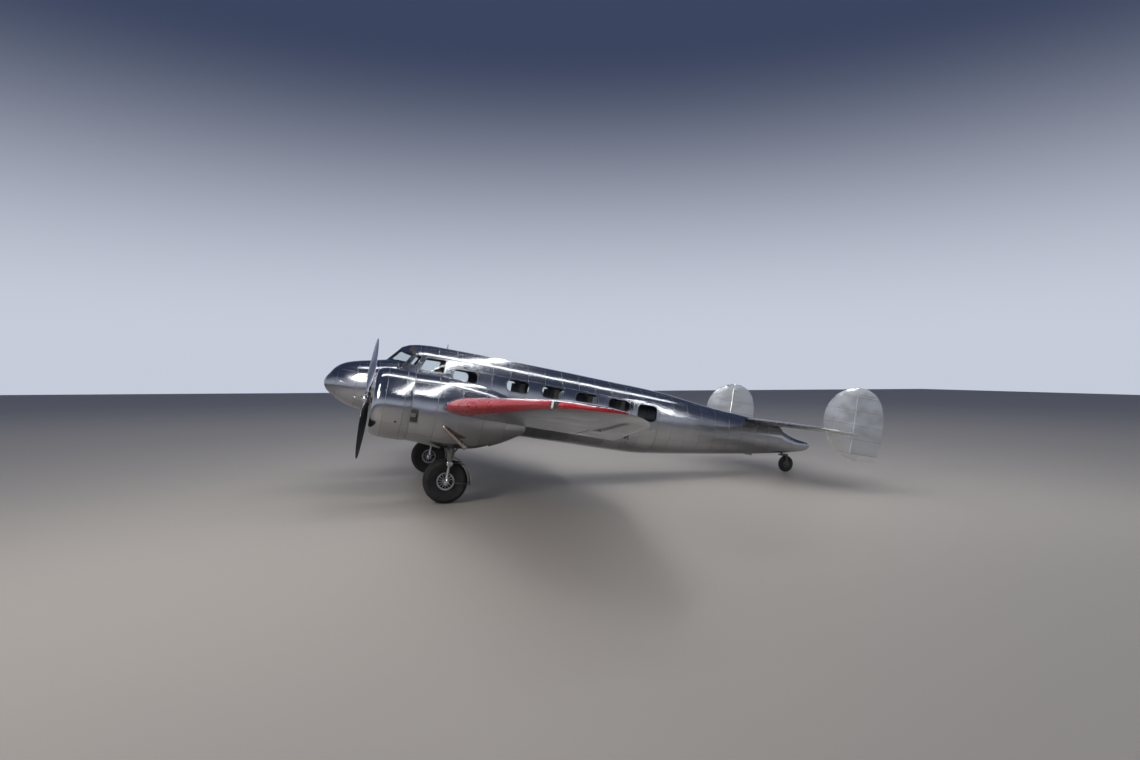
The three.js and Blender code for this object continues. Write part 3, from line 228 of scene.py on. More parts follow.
def bumps(tree, shader, *heights):
    """Bump nodes one on another, each with its height and how tall it is in metres."""
    normal = None
    for height, tall in heights:
        node = tree.nodes.new("ShaderNodeBump")
        node.inputs["Strength"].default_value = 1
        node.inputs["Distance"].default_value = tall
        tree.links.new(height, node.inputs["Height"])
        if normal:
            tree.links.new(normal, node.inputs["Normal"])
        normal = node.outputs["Normal"]
    tree.links.new(normal, shader.inputs["Normal"])


# The default tone is well below bright aluminium. Part of that is the dulling of old oxidised sheet, and part
# is a painted dark reflection that keeps the metal dark where it faces the pale floor.
def aluminium(name, lay, tone=(0.45, 0.46, 0.48), shine=0.15, pitches=(0.3875, 0.42), wave=0.006, paint=None):
    """Polished sheet, riveted along the two directions of a lay, with paint over it where a mask says so."""
    material, tree, shader = empty_material(name)
    vector, x, y, z = level_place(tree)
    along, around = lay(tree, x, y, z)
    sheet = use_group(
        tree, riveted_sheet, Along=along, Around=around, Along_Pitch=pitches[0], Around_Pitch=pitches[1]
    )
    face = use_group(tree, polished_face, Vector=vector)
    base = mixed(tree, calc(tree, "MULTIPLY", sheet["Sheet"], 0.5), tone, tuple(c * 0.72 for c in tone))
    base = mixed(tree, calc(tree, "MULTIPLY", sheet["Seam"], 0.6), base, (0.07, 0.07, 0.08))
    rough = calc(tree, "MULTIPLY_ADD", face["Haze"], 0.16, shine - 0.06)
    rough = calc(tree, "MULTIPLY_ADD", sheet["Sheet"], 0.05, rough)
    rough = calc(tree, "MULTIPLY_ADD", sheet["Seam"], 0.3, rough)
    if paint:
        mask, colour = paint(tree, x, y, z)
        base = mixed(tree, mask, base, colour)
        tree.links.new(calc(tree, "SUBTRACT", 1, mask), shader.inputs["Metallic"])
        rough = calc(tree, "MULTIPLY_ADD", mask, 0.1, rough)
    else:
        shader.inputs["Metallic"].default_value = 1
    tree.links.new(base, shader.inputs["Base Color"])
    tree.links.new(rough, shader.inputs["Roughness"])
    lift = calc(tree, "SUBTRACT", calc(tree, "MULTIPLY", sheet["Rivet"], 0.5), sheet["Seam"])
    bumps(tree, shader, (face["Wave"], wave), (lift, 0.0007), (face["Scratch"], 0.00012))
    return material


def round_a_tube(centre_x, centre_z, radius, seam_degrees=0):
    """Rings of sheet along the body, and seams at fixed angles round its centre line."""
    def lay(tree, x, y, z):
        side = calc(tree, "SUBTRACT", calc(tree, "ABSOLUTE", x), centre_x)
        angle = calc(tree, "ARCTAN2", calc(tree, "SUBTRACT", z, centre_z), side)
        angle = calc(tree, "SUBTRACT", angle, math.radians(seam_degrees))
        return y, calc(tree, "MULTIPLY", angle, radius)
    return lay


# Worn finish: dust in patches, scuffs, and a fine grain
worn_finish, given, out = new_group(
    "worn_finish", [("Vector", None), ("Grain Size", 60.0)], ["Dust", "Scuff", "Grain"]
)
worn_finish.links.new(noise(worn_finish, given["Vector"], 6, 5, 0.6), out["Dust"])
worn_finish.links.new(noise(worn_finish, given["Vector"], 24, 6, 0.7), out["Scuff"])
grain = worn_finish.nodes.new("ShaderNodeTexNoise")
grain.inputs["Detail"].default_value = 3
worn_finish.links.new(given["Vector"], grain.inputs["Vector"])
worn_finish.links.new(given["Grain Size"], grain.inputs["Scale"])
worn_finish.links.new(grain.outputs["Fac"], out["Grain"])


def finish(name, colour, dusty, metal=0.0, rough=0.5, grain_size=60.0, tall=0.0004, coat=0.0):
    """A painted, cast, moulded or woven finish that goes dusty and scuffed in patches."""
    material, tree, shader = empty_material(name)
    vector = level_place(tree)[0]
    worn = use_group(tree, worn_finish, Vector=vector, Grain_Size=grain_size)
    patches = fade(tree, worn["Dust"], 0.66, 0.36)
    patches = calc(tree, "SUBTRACT", 1, patches)
    tree.links.new(mixed(tree, patches, dusty, colour), shader.inputs["Base Color"])
    tree.links.new(calc(tree, "MULTIPLY_ADD", worn["Scuff"], 0.3, rough - 0.15), shader.inputs["Roughness"])
    shader.inputs["Metallic"].default_value = metal
    shader.inputs["Coat Weight"].default_value = coat
    bumps(tree, shader, (worn["Grain"], tall))
    return material


def row_at(table, at):
    """The other columns of a table at a value of its first column, on a smooth curve through its rows."""
    at = min(max(at, table[0][0]), table[-1][0])
    first = next(i for i in range(len(table) - 1) if at <= table[i + 1][0])
    rows = [table[max(first - 1, 0)], table[first], table[first + 1], table[min(first + 2, len(table) - 1)]]
    width = rows[2][0] - rows[1][0]
    t = (at - rows[1][0]) / width
    values = []
    for column in range(1, len(table[0])):
        slope_in = (rows[2][column] - rows[0][column]) / (rows[2][0] - rows[0][0]) * width
        slope_out = (rows[3][column] - rows[1][column]) / (rows[3][0] - rows[1][0]) * width
        value = rows[1][column] * (1 - t) ** 2 * (1 + 2 * t) + rows[2][column] * t * t * (3 - 2 * t)
        values.append(value + slope_in * t * (1 - t) ** 2 - slope_out * t * t * (1 - t))
    return values


def out_from_middle(table, centre_x, place):
    """1 on a rounded body's skin, and 0 at its middle."""
    bottom, top, half = row_at(table, place.y)
    wide = abs(place.x - centre_x) / half
    high = abs(place.z - (top + bottom) / 2) / ((top - bottom) / 2)
    return wide ** SQUARENESS + high ** SQUARENESS


SLOPE_STEP = 0.004


def body_slope(table, centre_x, point):
    """The way a rounded body's skin faces at a point."""
    change = []
    for axis in range(3):
        step = Vector((0, 0, 0))
        step[axis] = SLOPE_STEP
        after = out_from_middle(table, centre_x, point + step)
        change.append(after - out_from_middle(table, centre_x, point - step))
    return Vector(change).normalized()


# The windscreen frame is flat, in two planes that meet in a raked V
SCREEN_BASE = Vector((0, -1.420, 2.115))
SCREEN_TOP = Vector((0, -1.175, 2.400))
SCREEN_CORNER = Vector((0.650, -1.000, 2.090))
NOSE_REAR, CABIN_FRONT, SCREEN_REAR, SCREEN_SILL = -0.64, -1.62, -0.95, 2.0


def fuselage_slopes(point):
    slopes = []
    if point.y < NOSE_REAR:
        slopes.append(body_slope(NOSE, 0, point))
    if point.y > CABIN_FRONT:
        slopes.append(body_slope(CABIN, 0, point))
    if point.y < SCREEN_REAR and point.z > SCREEN_SILL:
        face = (SCREEN_CORNER - SCREEN_BASE).cross(SCREEN_TOP - SCREEN_BASE).normalized()
        slopes += [face, Vector((-face.x, face.y, face.z))]
    return slopes


FURTHEST_DRAWN = 0.014
FACET_DEGREES = 18


def onto_body(tables, centre_x, point):
    """A point close to a rounded body's skin, drawn onto its true curve. Any other point stays."""
    nearest, step = point, FURTHEST_DRAWN
    for table in tables:
        if table[0][0] <= point.y <= table[-1][0]:
            bottom, top, half = row_at(table, point.y)
            middle = Vector((centre_x, point.y, (top + bottom) / 2))
            share = max(out_from_middle(table, centre_x, point), 0.01) ** (-1 / SQUARENESS)
            drawn = middle.lerp(point, share)
            if (drawn - point).length < step:
                nearest, step = drawn, (drawn - point).length
    return nearest


def onto_fuselage(point):
    return onto_body((NOSE, CABIN), 0, point)


def merged_copy(node):
    """A piece with the shape of a CAD node, its facets joined at their corners."""
    piece = bpy.data.objects.new(node + "_skin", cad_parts[node].data.copy())
    bpy.context.scene.collection.objects.link(piece)
    piece.data.materials.clear()
    shape = bmesh.new()
    shape.from_mesh(piece.data)
    bmesh.ops.remove_doubles(shape, verts=shape.verts, dist=0.00002)
    shape.to_mesh(piece.data)
    shape.free()
    return piece


def ring_cuts(middle, front, rear, step):
    """Planes across a rounded body, and planes through its centre line at the middle of each facet."""
    stations = [front + step * i for i in range(int((rear - front) / step))]
    across = [(Vector((0, y, 0)), Vector((0, 1, 0))) for y in stations]
    angles = [math.radians(FACET_DEGREES * i) for i in range(180 // FACET_DEGREES)]
    return across + [(middle, Vector((math.sin(a), 0, math.cos(a)))) for a in angles]


def faired(piece, onto_curve, cuts):
    """Cuts a piece's facets along planes and draws its corners onto the true curve, to hide the facets."""
    shape = bmesh.new()
    shape.from_mesh(piece.data)
    shape.transform(LEVEL)
    for place, normal in cuts:
        everything = shape.verts[:] + shape.edges[:] + shape.faces[:]
        bmesh.ops.bisect_plane(shape, geom=everything, dist=0.0005, plane_co=place, plane_no=normal)
    for corner in shape.verts:
        corner.co = onto_curve(corner.co)
    shape.transform(PARKED)
    shape.to_mesh(piece.data)
    shape.free()


def stands_for(piece, node, body):
    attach(piece, body)
    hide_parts(node)


def skinned(node, body, material, slot, slopes_at, limit=32, inside=None, onto_curve=None, cuts=()):
    """Stands for a CAD node, shaded with the slope of its true skin. Faces off it may take another finish."""
    piece = merged_copy(node)
    if onto_curve:
        faired(piece, onto_curve, cuts)
    piece.data.materials.append(material)
    if inside:
        piece.data.materials.append(inside)
    to_level, to_row = LEVEL.to_3x3(), PARKED.to_3x3()
    slopes = [slopes_at(LEVEL @ corner.co) for corner in piece.data.vertices]
    normals = []
    for face in piece.data.polygons:
        face.use_smooth = True
        flat = to_level @ face.normal
        off_skin = 0
        for index in face.vertices:
            near = [way for way in slopes[index] if way.length and math.degrees(way.angle(flat)) < limit]
            off_skin += not near
            normals.append(to_row @ (min(near, key=lambda way: way.angle(flat)) if near else flat))
        if inside and off_skin > 1:
            face.material_index = 1
    piece.data.normals_split_custom_set(normals)
    stands_for(piece, node, body)


fuselage_skin = aluminium("fuselage_skin", round_a_tube(0, BODY_MIDDLE_Z, BODY_RADIUS))
# The lining inside the cockpit, cabin and door is near black. It is painted shade of the dim inside, seen
# round the window edges and through the glass.
shade_black_lining = finish("cabin_lining_painted_shade", (0.035, 0.037, 0.04), (0.06, 0.06, 0.06), rough=0.8, grain_size=400)
for node, front, rear in (
    ("fuselage_nose", -2.6, -1.6),
    ("cockpit_shell", -1.6, 0.2),
    ("cabin_shell", 0.0, 5.4),
    ("tail_cone", 5.0, 9.1),
    ("cabin_door", 4.0, 4.7),
):
    body = "cabin_door" if node == "cabin_door" else "airframe"
    inside = shade_black_lining if node in ("cockpit_shell", "cabin_shell", "cabin_door") else None
    cuts = ring_cuts(Vector((0, 0, BODY_MIDDLE_Z)), front, rear, 0.1 if front < 0 else 0.25)
    skinned(node, body, fuselage_skin, "polished_skin", fuselage_slopes, 32, inside, onto_fuselage, cuts)

# Windows
# Clear sheet, bent to the skin and held in the window openings by flat metal rings. The windscreen is flat
# safety glass in two halves.
CABIN_WINDOWS = [
    (-0.060, 0.460, 1.895, 2.155),
    (1.090, 1.590, 1.880, 2.145),
    (1.870, 2.390, 1.875, 2.140),
    (2.640, 3.160, 1.870, 2.130),
    (3.410, 3.930, 1.865, 2.120),
]
DOOR_WINDOW = (4.130, 4.620, 1.740, 2.110)
COCKPIT_WINDOWS = [
    [(-0.960, 2.090), (-0.840, 2.080), (-0.735, 2.285), (-0.835, 2.322)],
    [(-0.735, 2.020), (-0.250, 2.020), (-0.232, 2.292), (-0.632, 2.285)],
]
GLASS_DEPTH, GLASS_THICKNESS, GLASS_TUCK = 0.032, 0.004, 0.012
CABIN_CORNER, COCKPIT_CORNER, CORNER_STEPS = 0.112, 0.022, 6
RING_EDGES, RING_PROUD, RING_THICKNESS = (-0.006, 0.006, 0.018), 0.004, 0.012


def alone(piece):
    bpy.ops.object.select_all(action="DESELECT")
    piece.select_set(True)
    bpy.context.view_layer.objects.active = piece
    return piece


def started(add, name, **sizes):
    """A new primitive at its size and place, and nothing else selected."""
    bpy.ops.object.select_all(action="DESELECT")
    add(**sizes)
    bpy.context.object.name = name
    return bpy.context.object


def joined(name, pieces):
    alone(pieces[0])
    for piece in pieces:
        piece.select_set(True)
    bpy.ops.object.join()
    pieces[0].name = name
    return pieces[0]


def other_side(piece, name):
    """The same piece for the right side."""
    twin = piece.copy()
    twin.data = piece.data.copy()
    twin.name = name
    bpy.context.scene.collection.objects.link(twin)
    twin.data.transform(Matrix.Scale(-1, 4, (1, 0, 0)))
    twin.data.flip_normals()
    return twin


def fitted(piece, body, material, slot, stance=PARKED, nodes=()):
    """A finished piece: its place goes into its mesh, in the parked stance, and it rides on its body."""
    bpy.context.view_layer.update()
    piece.data.transform(stance @ piece.matrix_world)
    piece.matrix_world = Matrix.Identity(4)
    piece.data.materials.clear()
    piece.data.materials.append(material)
    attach(piece, body)
    if nodes:
        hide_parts(*nodes)
    return piece


def smooth(piece, angle=35):
    alone(piece)
    bpy.ops.object.shade_smooth_by_angle(angle=math.radians(angle))
    return piece


def skin_x(table, y, z):
    """How far out a rounded body's skin is at a height."""
    bottom, top, half = row_at(table, y)
    height = abs(z - (top + bottom) / 2) / ((top - bottom) / 2)
    return half * (1 - height ** SQUARENESS) ** (1 / SQUARENESS)


def thickened(piece, thickness, offset=-1):
    """A sheet with its thickness: behind its face, or about it where the offset is 0."""
    wall = piece.modifiers.new("thickness", "SOLIDIFY")
    wall.thickness = thickness
    wall.offset = offset
    alone(piece)
    bpy.ops.object.modifier_apply(modifier=wall.name)
    return piece


def bent_sheet(name, corners, columns, rows, thickness, out_at):
    """A sheet between four corners, given as y and z, that stands out as far as it is told at each place."""
    cells = {"x_subdivisions": columns, "y_subdivisions": rows}
    piece = started(bpy.ops.mesh.primitive_grid_add, name, size=2, **cells)
    for point in piece.data.vertices:
        across, up = point.co.x / 2 + 0.5, point.co.y / 2 + 0.5
        low = Vector(corners[0]).lerp(Vector(corners[1]), across)
        high = Vector(corners[3]).lerp(Vector(corners[2]), across)
        y, z = low.lerp(high, up)
        point.co = (out_at(y, z, across), y, z)
    return smooth(thickened(piece, thickness, 0))


def pane(name, corners):
    """A pane just inside the skin."""
    def out_at(y, z, across):
        return skin_x(CABIN, y, z) - GLASS_DEPTH
    return bent_sheet(name, corners, 8, 6, GLASS_THICKNESS, out_at)


def box_corners(front, rear, sill, head, tuck=GLASS_TUCK):
    front, rear, sill, head = front - tuck, rear + tuck, sill - tuck, head + tuck
    return [(front, sill), (rear, sill), (rear, head), (front, head)]


def rounded(corners, radius, out):
    """A closed outline through four corners, moved out by a distance and rounded."""
    places = []
    for i, corner in enumerate(corners):
        here = Vector(corner)
        before = (Vector(corners[i - 1]) - here).normalized()
        after = (Vector(corners[(i + 1) % 4]) - here).normalized()
        opening = before.angle(after)
        here -= (before + after) * out / math.sin(opening)
        middle = here + (before + after).normalized() * radius / math.sin(opening / 2)
        start = here + before * radius / math.tan(opening / 2) - middle
        end = here + after * radius / math.tan(opening / 2) - middle
        sweep = math.atan2(start.cross(end), start.dot(end))
        turns = [Matrix.Rotation(sweep * step / CORNER_STEPS, 2) for step in range(CORNER_STEPS + 1)]
        places += [middle + turned_by @ start for turned_by in turns]
    return places


def edit_all():
    bpy.ops.object.mode_set(mode="EDIT")
    bpy.ops.mesh.select_all(action="SELECT")


def ring_round(name, corners, radius, table=CABIN, centre_x=0):
    """A flat ring round an opening, bent to the skin and standing a little proud of it."""
    outlines = [rounded(corners, radius + out, out) for out in RING_EDGES]
    count = len(outlines[0])
    piece = started(bpy.ops.mesh.primitive_grid_add, name, x_subdivisions=count, y_subdivisions=2, size=2)
    for point in piece.data.vertices:
        across, row = round((point.co.x + 1) / 2 * count), round(point.co.y + 1)
        y, z = outlines[row][across % count]
        point.co = (centre_x + skin_x(table, y, z) + RING_PROUD, y, z)
    edit_all()
    bpy.ops.mesh.remove_doubles(threshold=0.00001)
    bpy.ops.object.mode_set(mode="OBJECT")
    if piece.data.polygons[0].normal.x < 0:
        piece.data.flip_normals()
    return smooth(thickened(piece, RING_THICKNESS))


def mirror_pair(piece, material, slot, node=None):
    """Fits a piece of the airframe's left side, and its mirror image on the right."""
    twin = other_side(piece, piece.name.replace("left", "right"))
    for side, part in (("right", twin), ("left", piece)):
        fitted(part, "airframe", material, slot, nodes=(node + side,) if node else ())


glass, tree, shader = empty_material("window_glass")
worn = use_group(tree, worn_finish, Vector=level_place(tree)[0], Grain_Size=8.0)
tree.links.new(mixed(tree, worn["Dust"], (0.86, 0.93, 0.92), (0.95, 0.97, 0.96)), shader.inputs["Base Color"])
tree.links.new(calc(tree, "MULTIPLY", worn["Scuff"], 0.06), shader.inputs["Roughness"])
shader.inputs["Transmission Weight"].default_value = 1
shader.inputs["IOR"].default_value = 1.3
bumps(tree, shader, (worn["Grain"], 0.0006))

side_panes = [pane("cabin_pane", box_corners(*window)) for window in CABIN_WINDOWS]
side_panes += [pane("cockpit_pane", corners) for corners in COCKPIT_WINDOWS]
mirror_pair(joined("side_glass_left", side_panes), glass, "glazing")
fitted(pane("door_glass", box_corners(*DOOR_WINDOW)), "cabin_door", glass, "glazing")
trim = finish(
    "window_trim", (0.34, 0.35, 0.36), (0.22, 0.22, 0.22), metal=1.0, rough=0.3, grain_size=120, tall=0.0001
)
side_rings = [ring_round("cabin_ring", box_corners(*place, tuck=0), CABIN_CORNER) for place in CABIN_WINDOWS]
side_rings += [ring_round("cockpit_ring", corners, COCKPIT_CORNER) for corners in COCKPIT_WINDOWS]
mirror_pair(joined("window_rings_left", side_rings), trim, "polished_skin")
door_ring = ring_round("door_window_ring", box_corners(*DOOR_WINDOW, tuck=0), CABIN_CORNER)
fitted(door_ring, "cabin_door", trim, "polished_skin")


def coat_node(node, material):
    """A CAD node that keeps its shape takes a finish."""
    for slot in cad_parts[node].material_slots:
        slot.material = material


for side in ("left", "right"):
    coat_node("windscreen_" + side, glass)

# Cabin
# Plywood floor under carpet with the wing spar crossing it, a bulkhead behind the crew, and cloth seats. They
# are screwed and bolted down, and show only through the glass.
carpet = finish("carpet", (0.10, 0.09, 0.08), (0.16, 0.14, 0.12), rough=0.95, grain_size=500, tall=0.002)
seat_cloth = finish(
    "seat_cloth", (0.20, 0.17, 0.13), (0.28, 0.24, 0.19), rough=0.9, grain_size=700, tall=0.001
)
primer = finish("primer", (0.17, 0.20, 0.13), (0.24, 0.25, 0.18), rough=0.6, grain_size=90)
panel_black = finish("panel_black", (0.02, 0.02, 0.022), (0.05, 0.05, 0.05), rough=0.55, grain_size=300)
coat_node("cabin_floor", carpet)
coat_node("main_spar", primer)
# The bulkhead takes the same near-black lining, painted shade of the dim cabin.
coat_node("cockpit_bulkhead", shade_black_lining)
coat_node("instrument_panel", panel_black)
for side in ("left", "right"):
    coat_node("cabin_seats_" + side, seat_cloth)
    coat_node("crew_seat_" + side, seat_cloth)

# Wing
# A flat-bottomed section tapering to round tips, in a level centre part and two outer panels of long sheets.
# The front of each outer panel is painted red. Ailerons and split flaps hang on hinges behind. A row gives a
# share of the chord and the heights of the upper and lower skins.
SECTION = [
    (0, 0.035, 0.035),
    (0.0125, 0.0545, 0.0193),
    (0.05, 0.079, 0.0093),
    (0.1, 0.096, 0.0042),
    (0.2, 0.1136, 0.0003),
    (0.35, 0.116, 0),
    (0.5, 0.1052, 0),
    (0.65, 0.083, 0),
    (0.8, 0.0522, 0),
    (1, 0.004, 0),
]
DEPTH, LEAD_HEIGHT = 0.117, 0.035
ROOT_DEPTH, DEPTH_LOST, ROOT_UNDER = 0.125, 0.018, 1.402
TIP_ROUNDNESS = 2.2
ROOT_X, TIP_X, SPAN_X = 3.0, 7.4, 8.38
ROOT_LEAD, ROOT_REAR, TIP_CENTRE = -0.32, 2.88, 1.14
SWEEP, REAR_SWEEP, RISE = (math.tan(math.radians(a)) for a in (7.3, -14.45, 4.2))
RED = (0.45, 0.005, 0.011)
RED_DEPTH, RED_NARROWS = 0.36, -0.058


def wing_edge(x, row, side):
    """A point on the wing's skin: distance out, row of the section, and upper or lower side."""
    out_board = max(0, x - ROOT_X)
    share = out_board / (SPAN_X - ROOT_X)
    reach = min(max(0, (x - TIP_X) / (SPAN_X - TIP_X)), 0.9999)
    squeeze = (1 - reach ** TIP_ROUNDNESS) ** (1 / TIP_ROUNDNESS)
    lead, rear = ROOT_LEAD + out_board * SWEEP, ROOT_REAR + out_board * REAR_SWEEP
    depth = (ROOT_DEPTH - DEPTH_LOST * share) * (rear - lead)
    under = ROOT_UNDER + out_board * RISE - LEAD_HEIGHT / DEPTH * depth * squeeze
    y = TIP_CENTRE + (lead + SECTION[row][0] * (rear - lead) - TIP_CENTRE) * squeeze
    return Vector((x, y, under + SECTION[row][side] / DEPTH * depth * squeeze))


def wing_slopes(point):
    """The ways that the upper and the lower skin face at a point's share of the chord."""
    x = min(abs(point.x), SPAN_X - 0.006)
    front, rear = wing_edge(x, 0, 1).y, wing_edge(x, len(SECTION) - 1, 1).y
    share = min(max((point.y - front) / (rear - front), 0), 1)
    at = next(i for i in range(len(SECTION) - 1) if share <= SECTION[i + 1][0] or i == len(SECTION) - 2)
    t = (share - SECTION[at][0]) / (SECTION[at + 1][0] - SECTION[at][0])
    slopes = []
    for side, sign in ((1, 1), (2, -1)):
        ends = []
        for row in (at, at + 1):
            before, after = max(row - 1, 0), min(row + 1, len(SECTION) - 1)
            run = wing_edge(x, after, side) - wing_edge(x, before, side)
            span = wing_edge(x + SLOPE_STEP, row, side) - wing_edge(x - SLOPE_STEP, row, side)
            ends.append(Vector((0, -1, 0)) if row == 0 else (span.cross(run) * sign).normalized())
        slope = ends[0].lerp(ends[1], t).normalized()
        slope.x = math.copysign(slope.x, slope.x * point.x) if point.x else slope.x
        slopes.append(slope)
    return slopes


def red_edge(tree, x, y, z):
    """Red along the front of the outer panel, narrowing as it follows the edge round the tip."""
    out_board = calc(tree, "SUBTRACT", calc(tree, "ABSOLUTE", x), ROOT_X)
    straight = calc(tree, "MULTIPLY_ADD", out_board, SWEEP, ROOT_LEAD - TIP_CENTRE)
    reach = calc(tree, "DIVIDE", calc(tree, "SUBTRACT", out_board, TIP_X - ROOT_X), SPAN_X - TIP_X)
    reach = calc(tree, "MINIMUM", calc(tree, "MAXIMUM", reach, 0), 1)
    squeeze = calc(tree, "SUBTRACT", 1, calc(tree, "POWER", reach, TIP_ROUNDNESS))
    squeeze = calc(tree, "POWER", squeeze, 1 / TIP_ROUNDNESS)
    front = calc(tree, "MULTIPLY_ADD", straight, squeeze, TIP_CENTRE)
    beyond = calc(tree, "SUBTRACT", y, front)
    beyond = calc(tree, "SUBTRACT", beyond, calc(tree, "MULTIPLY_ADD", out_board, RED_NARROWS, RED_DEPTH))
    return fade(tree, beyond, -0.002, 0.002), RED


def down_the_span(tree, x, y, z):
    return calc(tree, "ABSOLUTE", x), y


wing_skin = aluminium("wing_skin", down_the_span, pitches=(0.62, 0.38))
red_wing = aluminium("wing_skin_red_edge", down_the_span, pitches=(0.62, 0.38), wave=0.003, paint=red_edge)
# The landing lights' covers are near-black gloss: painted shade of each well's dim inside.
lamp_well_shade = finish(
    "landing_light_well", (0.02, 0.02, 0.022), (0.05, 0.05, 0.05), rough=0.25, grain_size=120, coat=0.6
)
lamp_silver = finish(
    "lamp_silver", (0.85, 0.86, 0.86), (0.7, 0.7, 0.68), rough=0.25, grain_size=120, tall=0.0001
)
for side in ("left", "right"):
    for part, material in (("wing_centre", wing_skin), ("wing_outer", red_wing)):
        skinned(f"{part}_{side}", "airframe", material, "polished_skin", wing_slopes, 40)
    for part in ("aileron", "flap_inner", "flap_outer"):
        skinned(f"{part}_{side}", f"{part}_{side}", wing_skin, "polished_skin", wing_slopes, 20)
    skinned(f"landing_light_{side}", "airframe", lamp_well_shade, "glazing", wing_slopes, 40)

# Nacelles
# Each engine sits in a round sheet-metal body that swells out of the wing and is open below for the wheel. A
# rimmed outlet for hot air stands on its outer side. The black plate inside its rim is painted shade where
# the opening would be.
NACELLE = [
    (-0.895, 0.658, 1.914, 0.628),
    (-0.450, 0.622, 1.936, 0.646),
    (-0.190, 0.592, 1.930, 0.640),
    (0.330, 0.640, 1.885, 0.600),
    (0.640, 0.740, 1.835, 0.530),
    (0.950, 0.880, 1.750, 0.430),
    (1.240, 1.050, 1.600, 0.290),
    (1.330, 1.140, 1.480, 0.170),
]
ENGINE_X, ENGINE_Z = 2.11, 1.285
THRUST_LINE = Matrix.Translation((ENGINE_X, 0, ENGINE_Z))
ACROSS = Matrix.Translation((-2 * ENGINE_X, 0, 0))
nacelle_skin = aluminium("nacelle_skin", round_a_tube(ENGINE_X, ENGINE_Z, 0.64), pitches=(0.44, 0.5))
for side, sign in (("left", 1), ("right", -1)):
    def nacelle_slopes(point, centre_x=sign * ENGINE_X):
        return [body_slope(NACELLE, centre_x, point)]

    def onto_nacelle(point, centre_x=sign * ENGINE_X):
        return onto_body((NACELLE,), centre_x, point)

    cuts = ring_cuts(Vector((sign * ENGINE_X, 0, ENGINE_Z)), -0.9, 1.35, 0.15)
    node, curve = "nacelle_" + side, (nacelle_slopes, 32, primer, onto_nacelle, cuts)
    skinned(node, "airframe", nacelle_skin, "polished_skin", *curve)

OUTLET = box_corners(-0.880, -0.745, 1.030, 1.270, tuck=0)
OUTLET_TAB = box_corners(-0.876, -0.790, 1.125, 1.195, tuck=0)
OUTLET_CORNER, PLATE_THICKNESS = 0.020, 0.002


def nacelle_patch(name, corners, lift):
    """A curved plate on the outer side of the left nacelle, raised more towards its rear edge."""
    def out_at(y, z, across):
        return ENGINE_X + skin_x(NACELLE, y, z) + lift * (1 + across)
    return bent_sheet(name, corners, 4, 8, PLATE_THICKNESS, out_at)


# The outlet's opening is a black plate on the skin: painted shade of the hole's dark inside.
mirror_pair(nacelle_patch("outlet_left_opening", OUTLET, 0.001), panel_black, "dark_steel")
mirror_pair(nacelle_patch("outlet_left_tab", OUTLET_TAB, 0.009), trim, "polished_skin")
mirror_pair(ring_round("outlet_left_rim", OUTLET, OUTLET_CORNER, NACELLE, ENGINE_X), trim, "polished_skin")

# Engines
# Nine air-cooled cylinders bolted round an aluminium case, each with fins, rocker boxes, pushrod tubes and
# plugs. One cylinder is modelled standing up, and the nine are set round the case.
CYLINDER_Y = -1.290
FIN_PITCH, BARREL_RADIUS, FIN_RADIUS = 0.013, 0.060, 0.080
HEAD_CORE, HEAD_RADIUS, BARREL_TOP, HEAD_TOP = 0.066, 0.088, 0.440, 0.545
PLUG_X = (-0.028, 0.028)


def turned(name, outline, steps=40):
    """A lathe-turned piece: an outline of radius and height, spun round the upright axis."""
    piece = started(bpy.ops.mesh.primitive_plane_add, name, size=1)
    edit_all()
    bpy.ops.mesh.merge(type="CENTER")
    bpy.ops.transform.translate(value=(outline[0][0], 0, outline[0][1]))
    for before, after in zip(outline, outline[1:]):
        step = (after[0] - before[0], 0, after[1] - before[1])
        bpy.ops.mesh.extrude_region_move(TRANSFORM_OT_translate={"value": step})
    bpy.ops.mesh.select_all(action="SELECT")
    bpy.ops.mesh.spin(steps=steps, angle=math.radians(360), center=(0, 0, 0), axis=(0, 0, 1))
    bpy.ops.mesh.select_all(action="SELECT")
    bpy.ops.mesh.remove_doubles(threshold=0.00001)
    bpy.ops.mesh.normals_make_consistent(inside=False)
    bpy.ops.object.mode_set(mode="OBJECT")
    return smooth(piece)


def moved(piece, *steps):
    """Moves a piece's mesh through a list of turns and shifts."""
    for step in steps:
        piece.data.transform(step)
    return piece


def copied(piece, *steps):
    twin = piece.copy()
    twin.data = piece.data.copy()
    bpy.context.scene.collection.objects.link(twin)
    return moved(twin, *steps)


def turn(degrees, axis):
    return Matrix.Rotation(math.radians(degrees), 4, axis)


def shift(x, y, z):
    return Matrix.Translation((x, y, z))


def soft_box(name, low, high, bevel=0.006):
    """A cast or folded block with rounded edges."""
    size = Vector(high) - Vector(low)
    piece = started(bpy.ops.mesh.primitive_cube_add, name, size=1)
    moved(piece, Matrix.Diagonal((*size, 1)), Matrix.Translation((Vector(low) + Vector(high)) / 2))
    edit_all()
    bpy.ops.mesh.bevel(offset=bevel, segments=3, affect="EDGES")
    bpy.ops.object.mode_set(mode="OBJECT")
    return smooth(piece)


def bent_tube(name, path, radius, sides=4, cap=True):
    """A tube or rod bent along a path of points."""
    curve = bpy.data.curves.new(name, "CURVE")
    curve.dimensions = "3D"
    curve.bevel_depth = radius
    curve.bevel_resolution = sides
    curve.use_fill_caps = cap
    line = curve.splines.new("POLY")
    line.points.add(len(path) - 1)
    for point, place in zip(line.points, path):
        point.co = (*place, 1)
    holder = bpy.data.objects.new(name, curve)
    bpy.context.scene.collection.objects.link(holder)
    alone(holder)
    bpy.ops.object.convert(target="MESH")
    return smooth(bpy.context.object, 50)


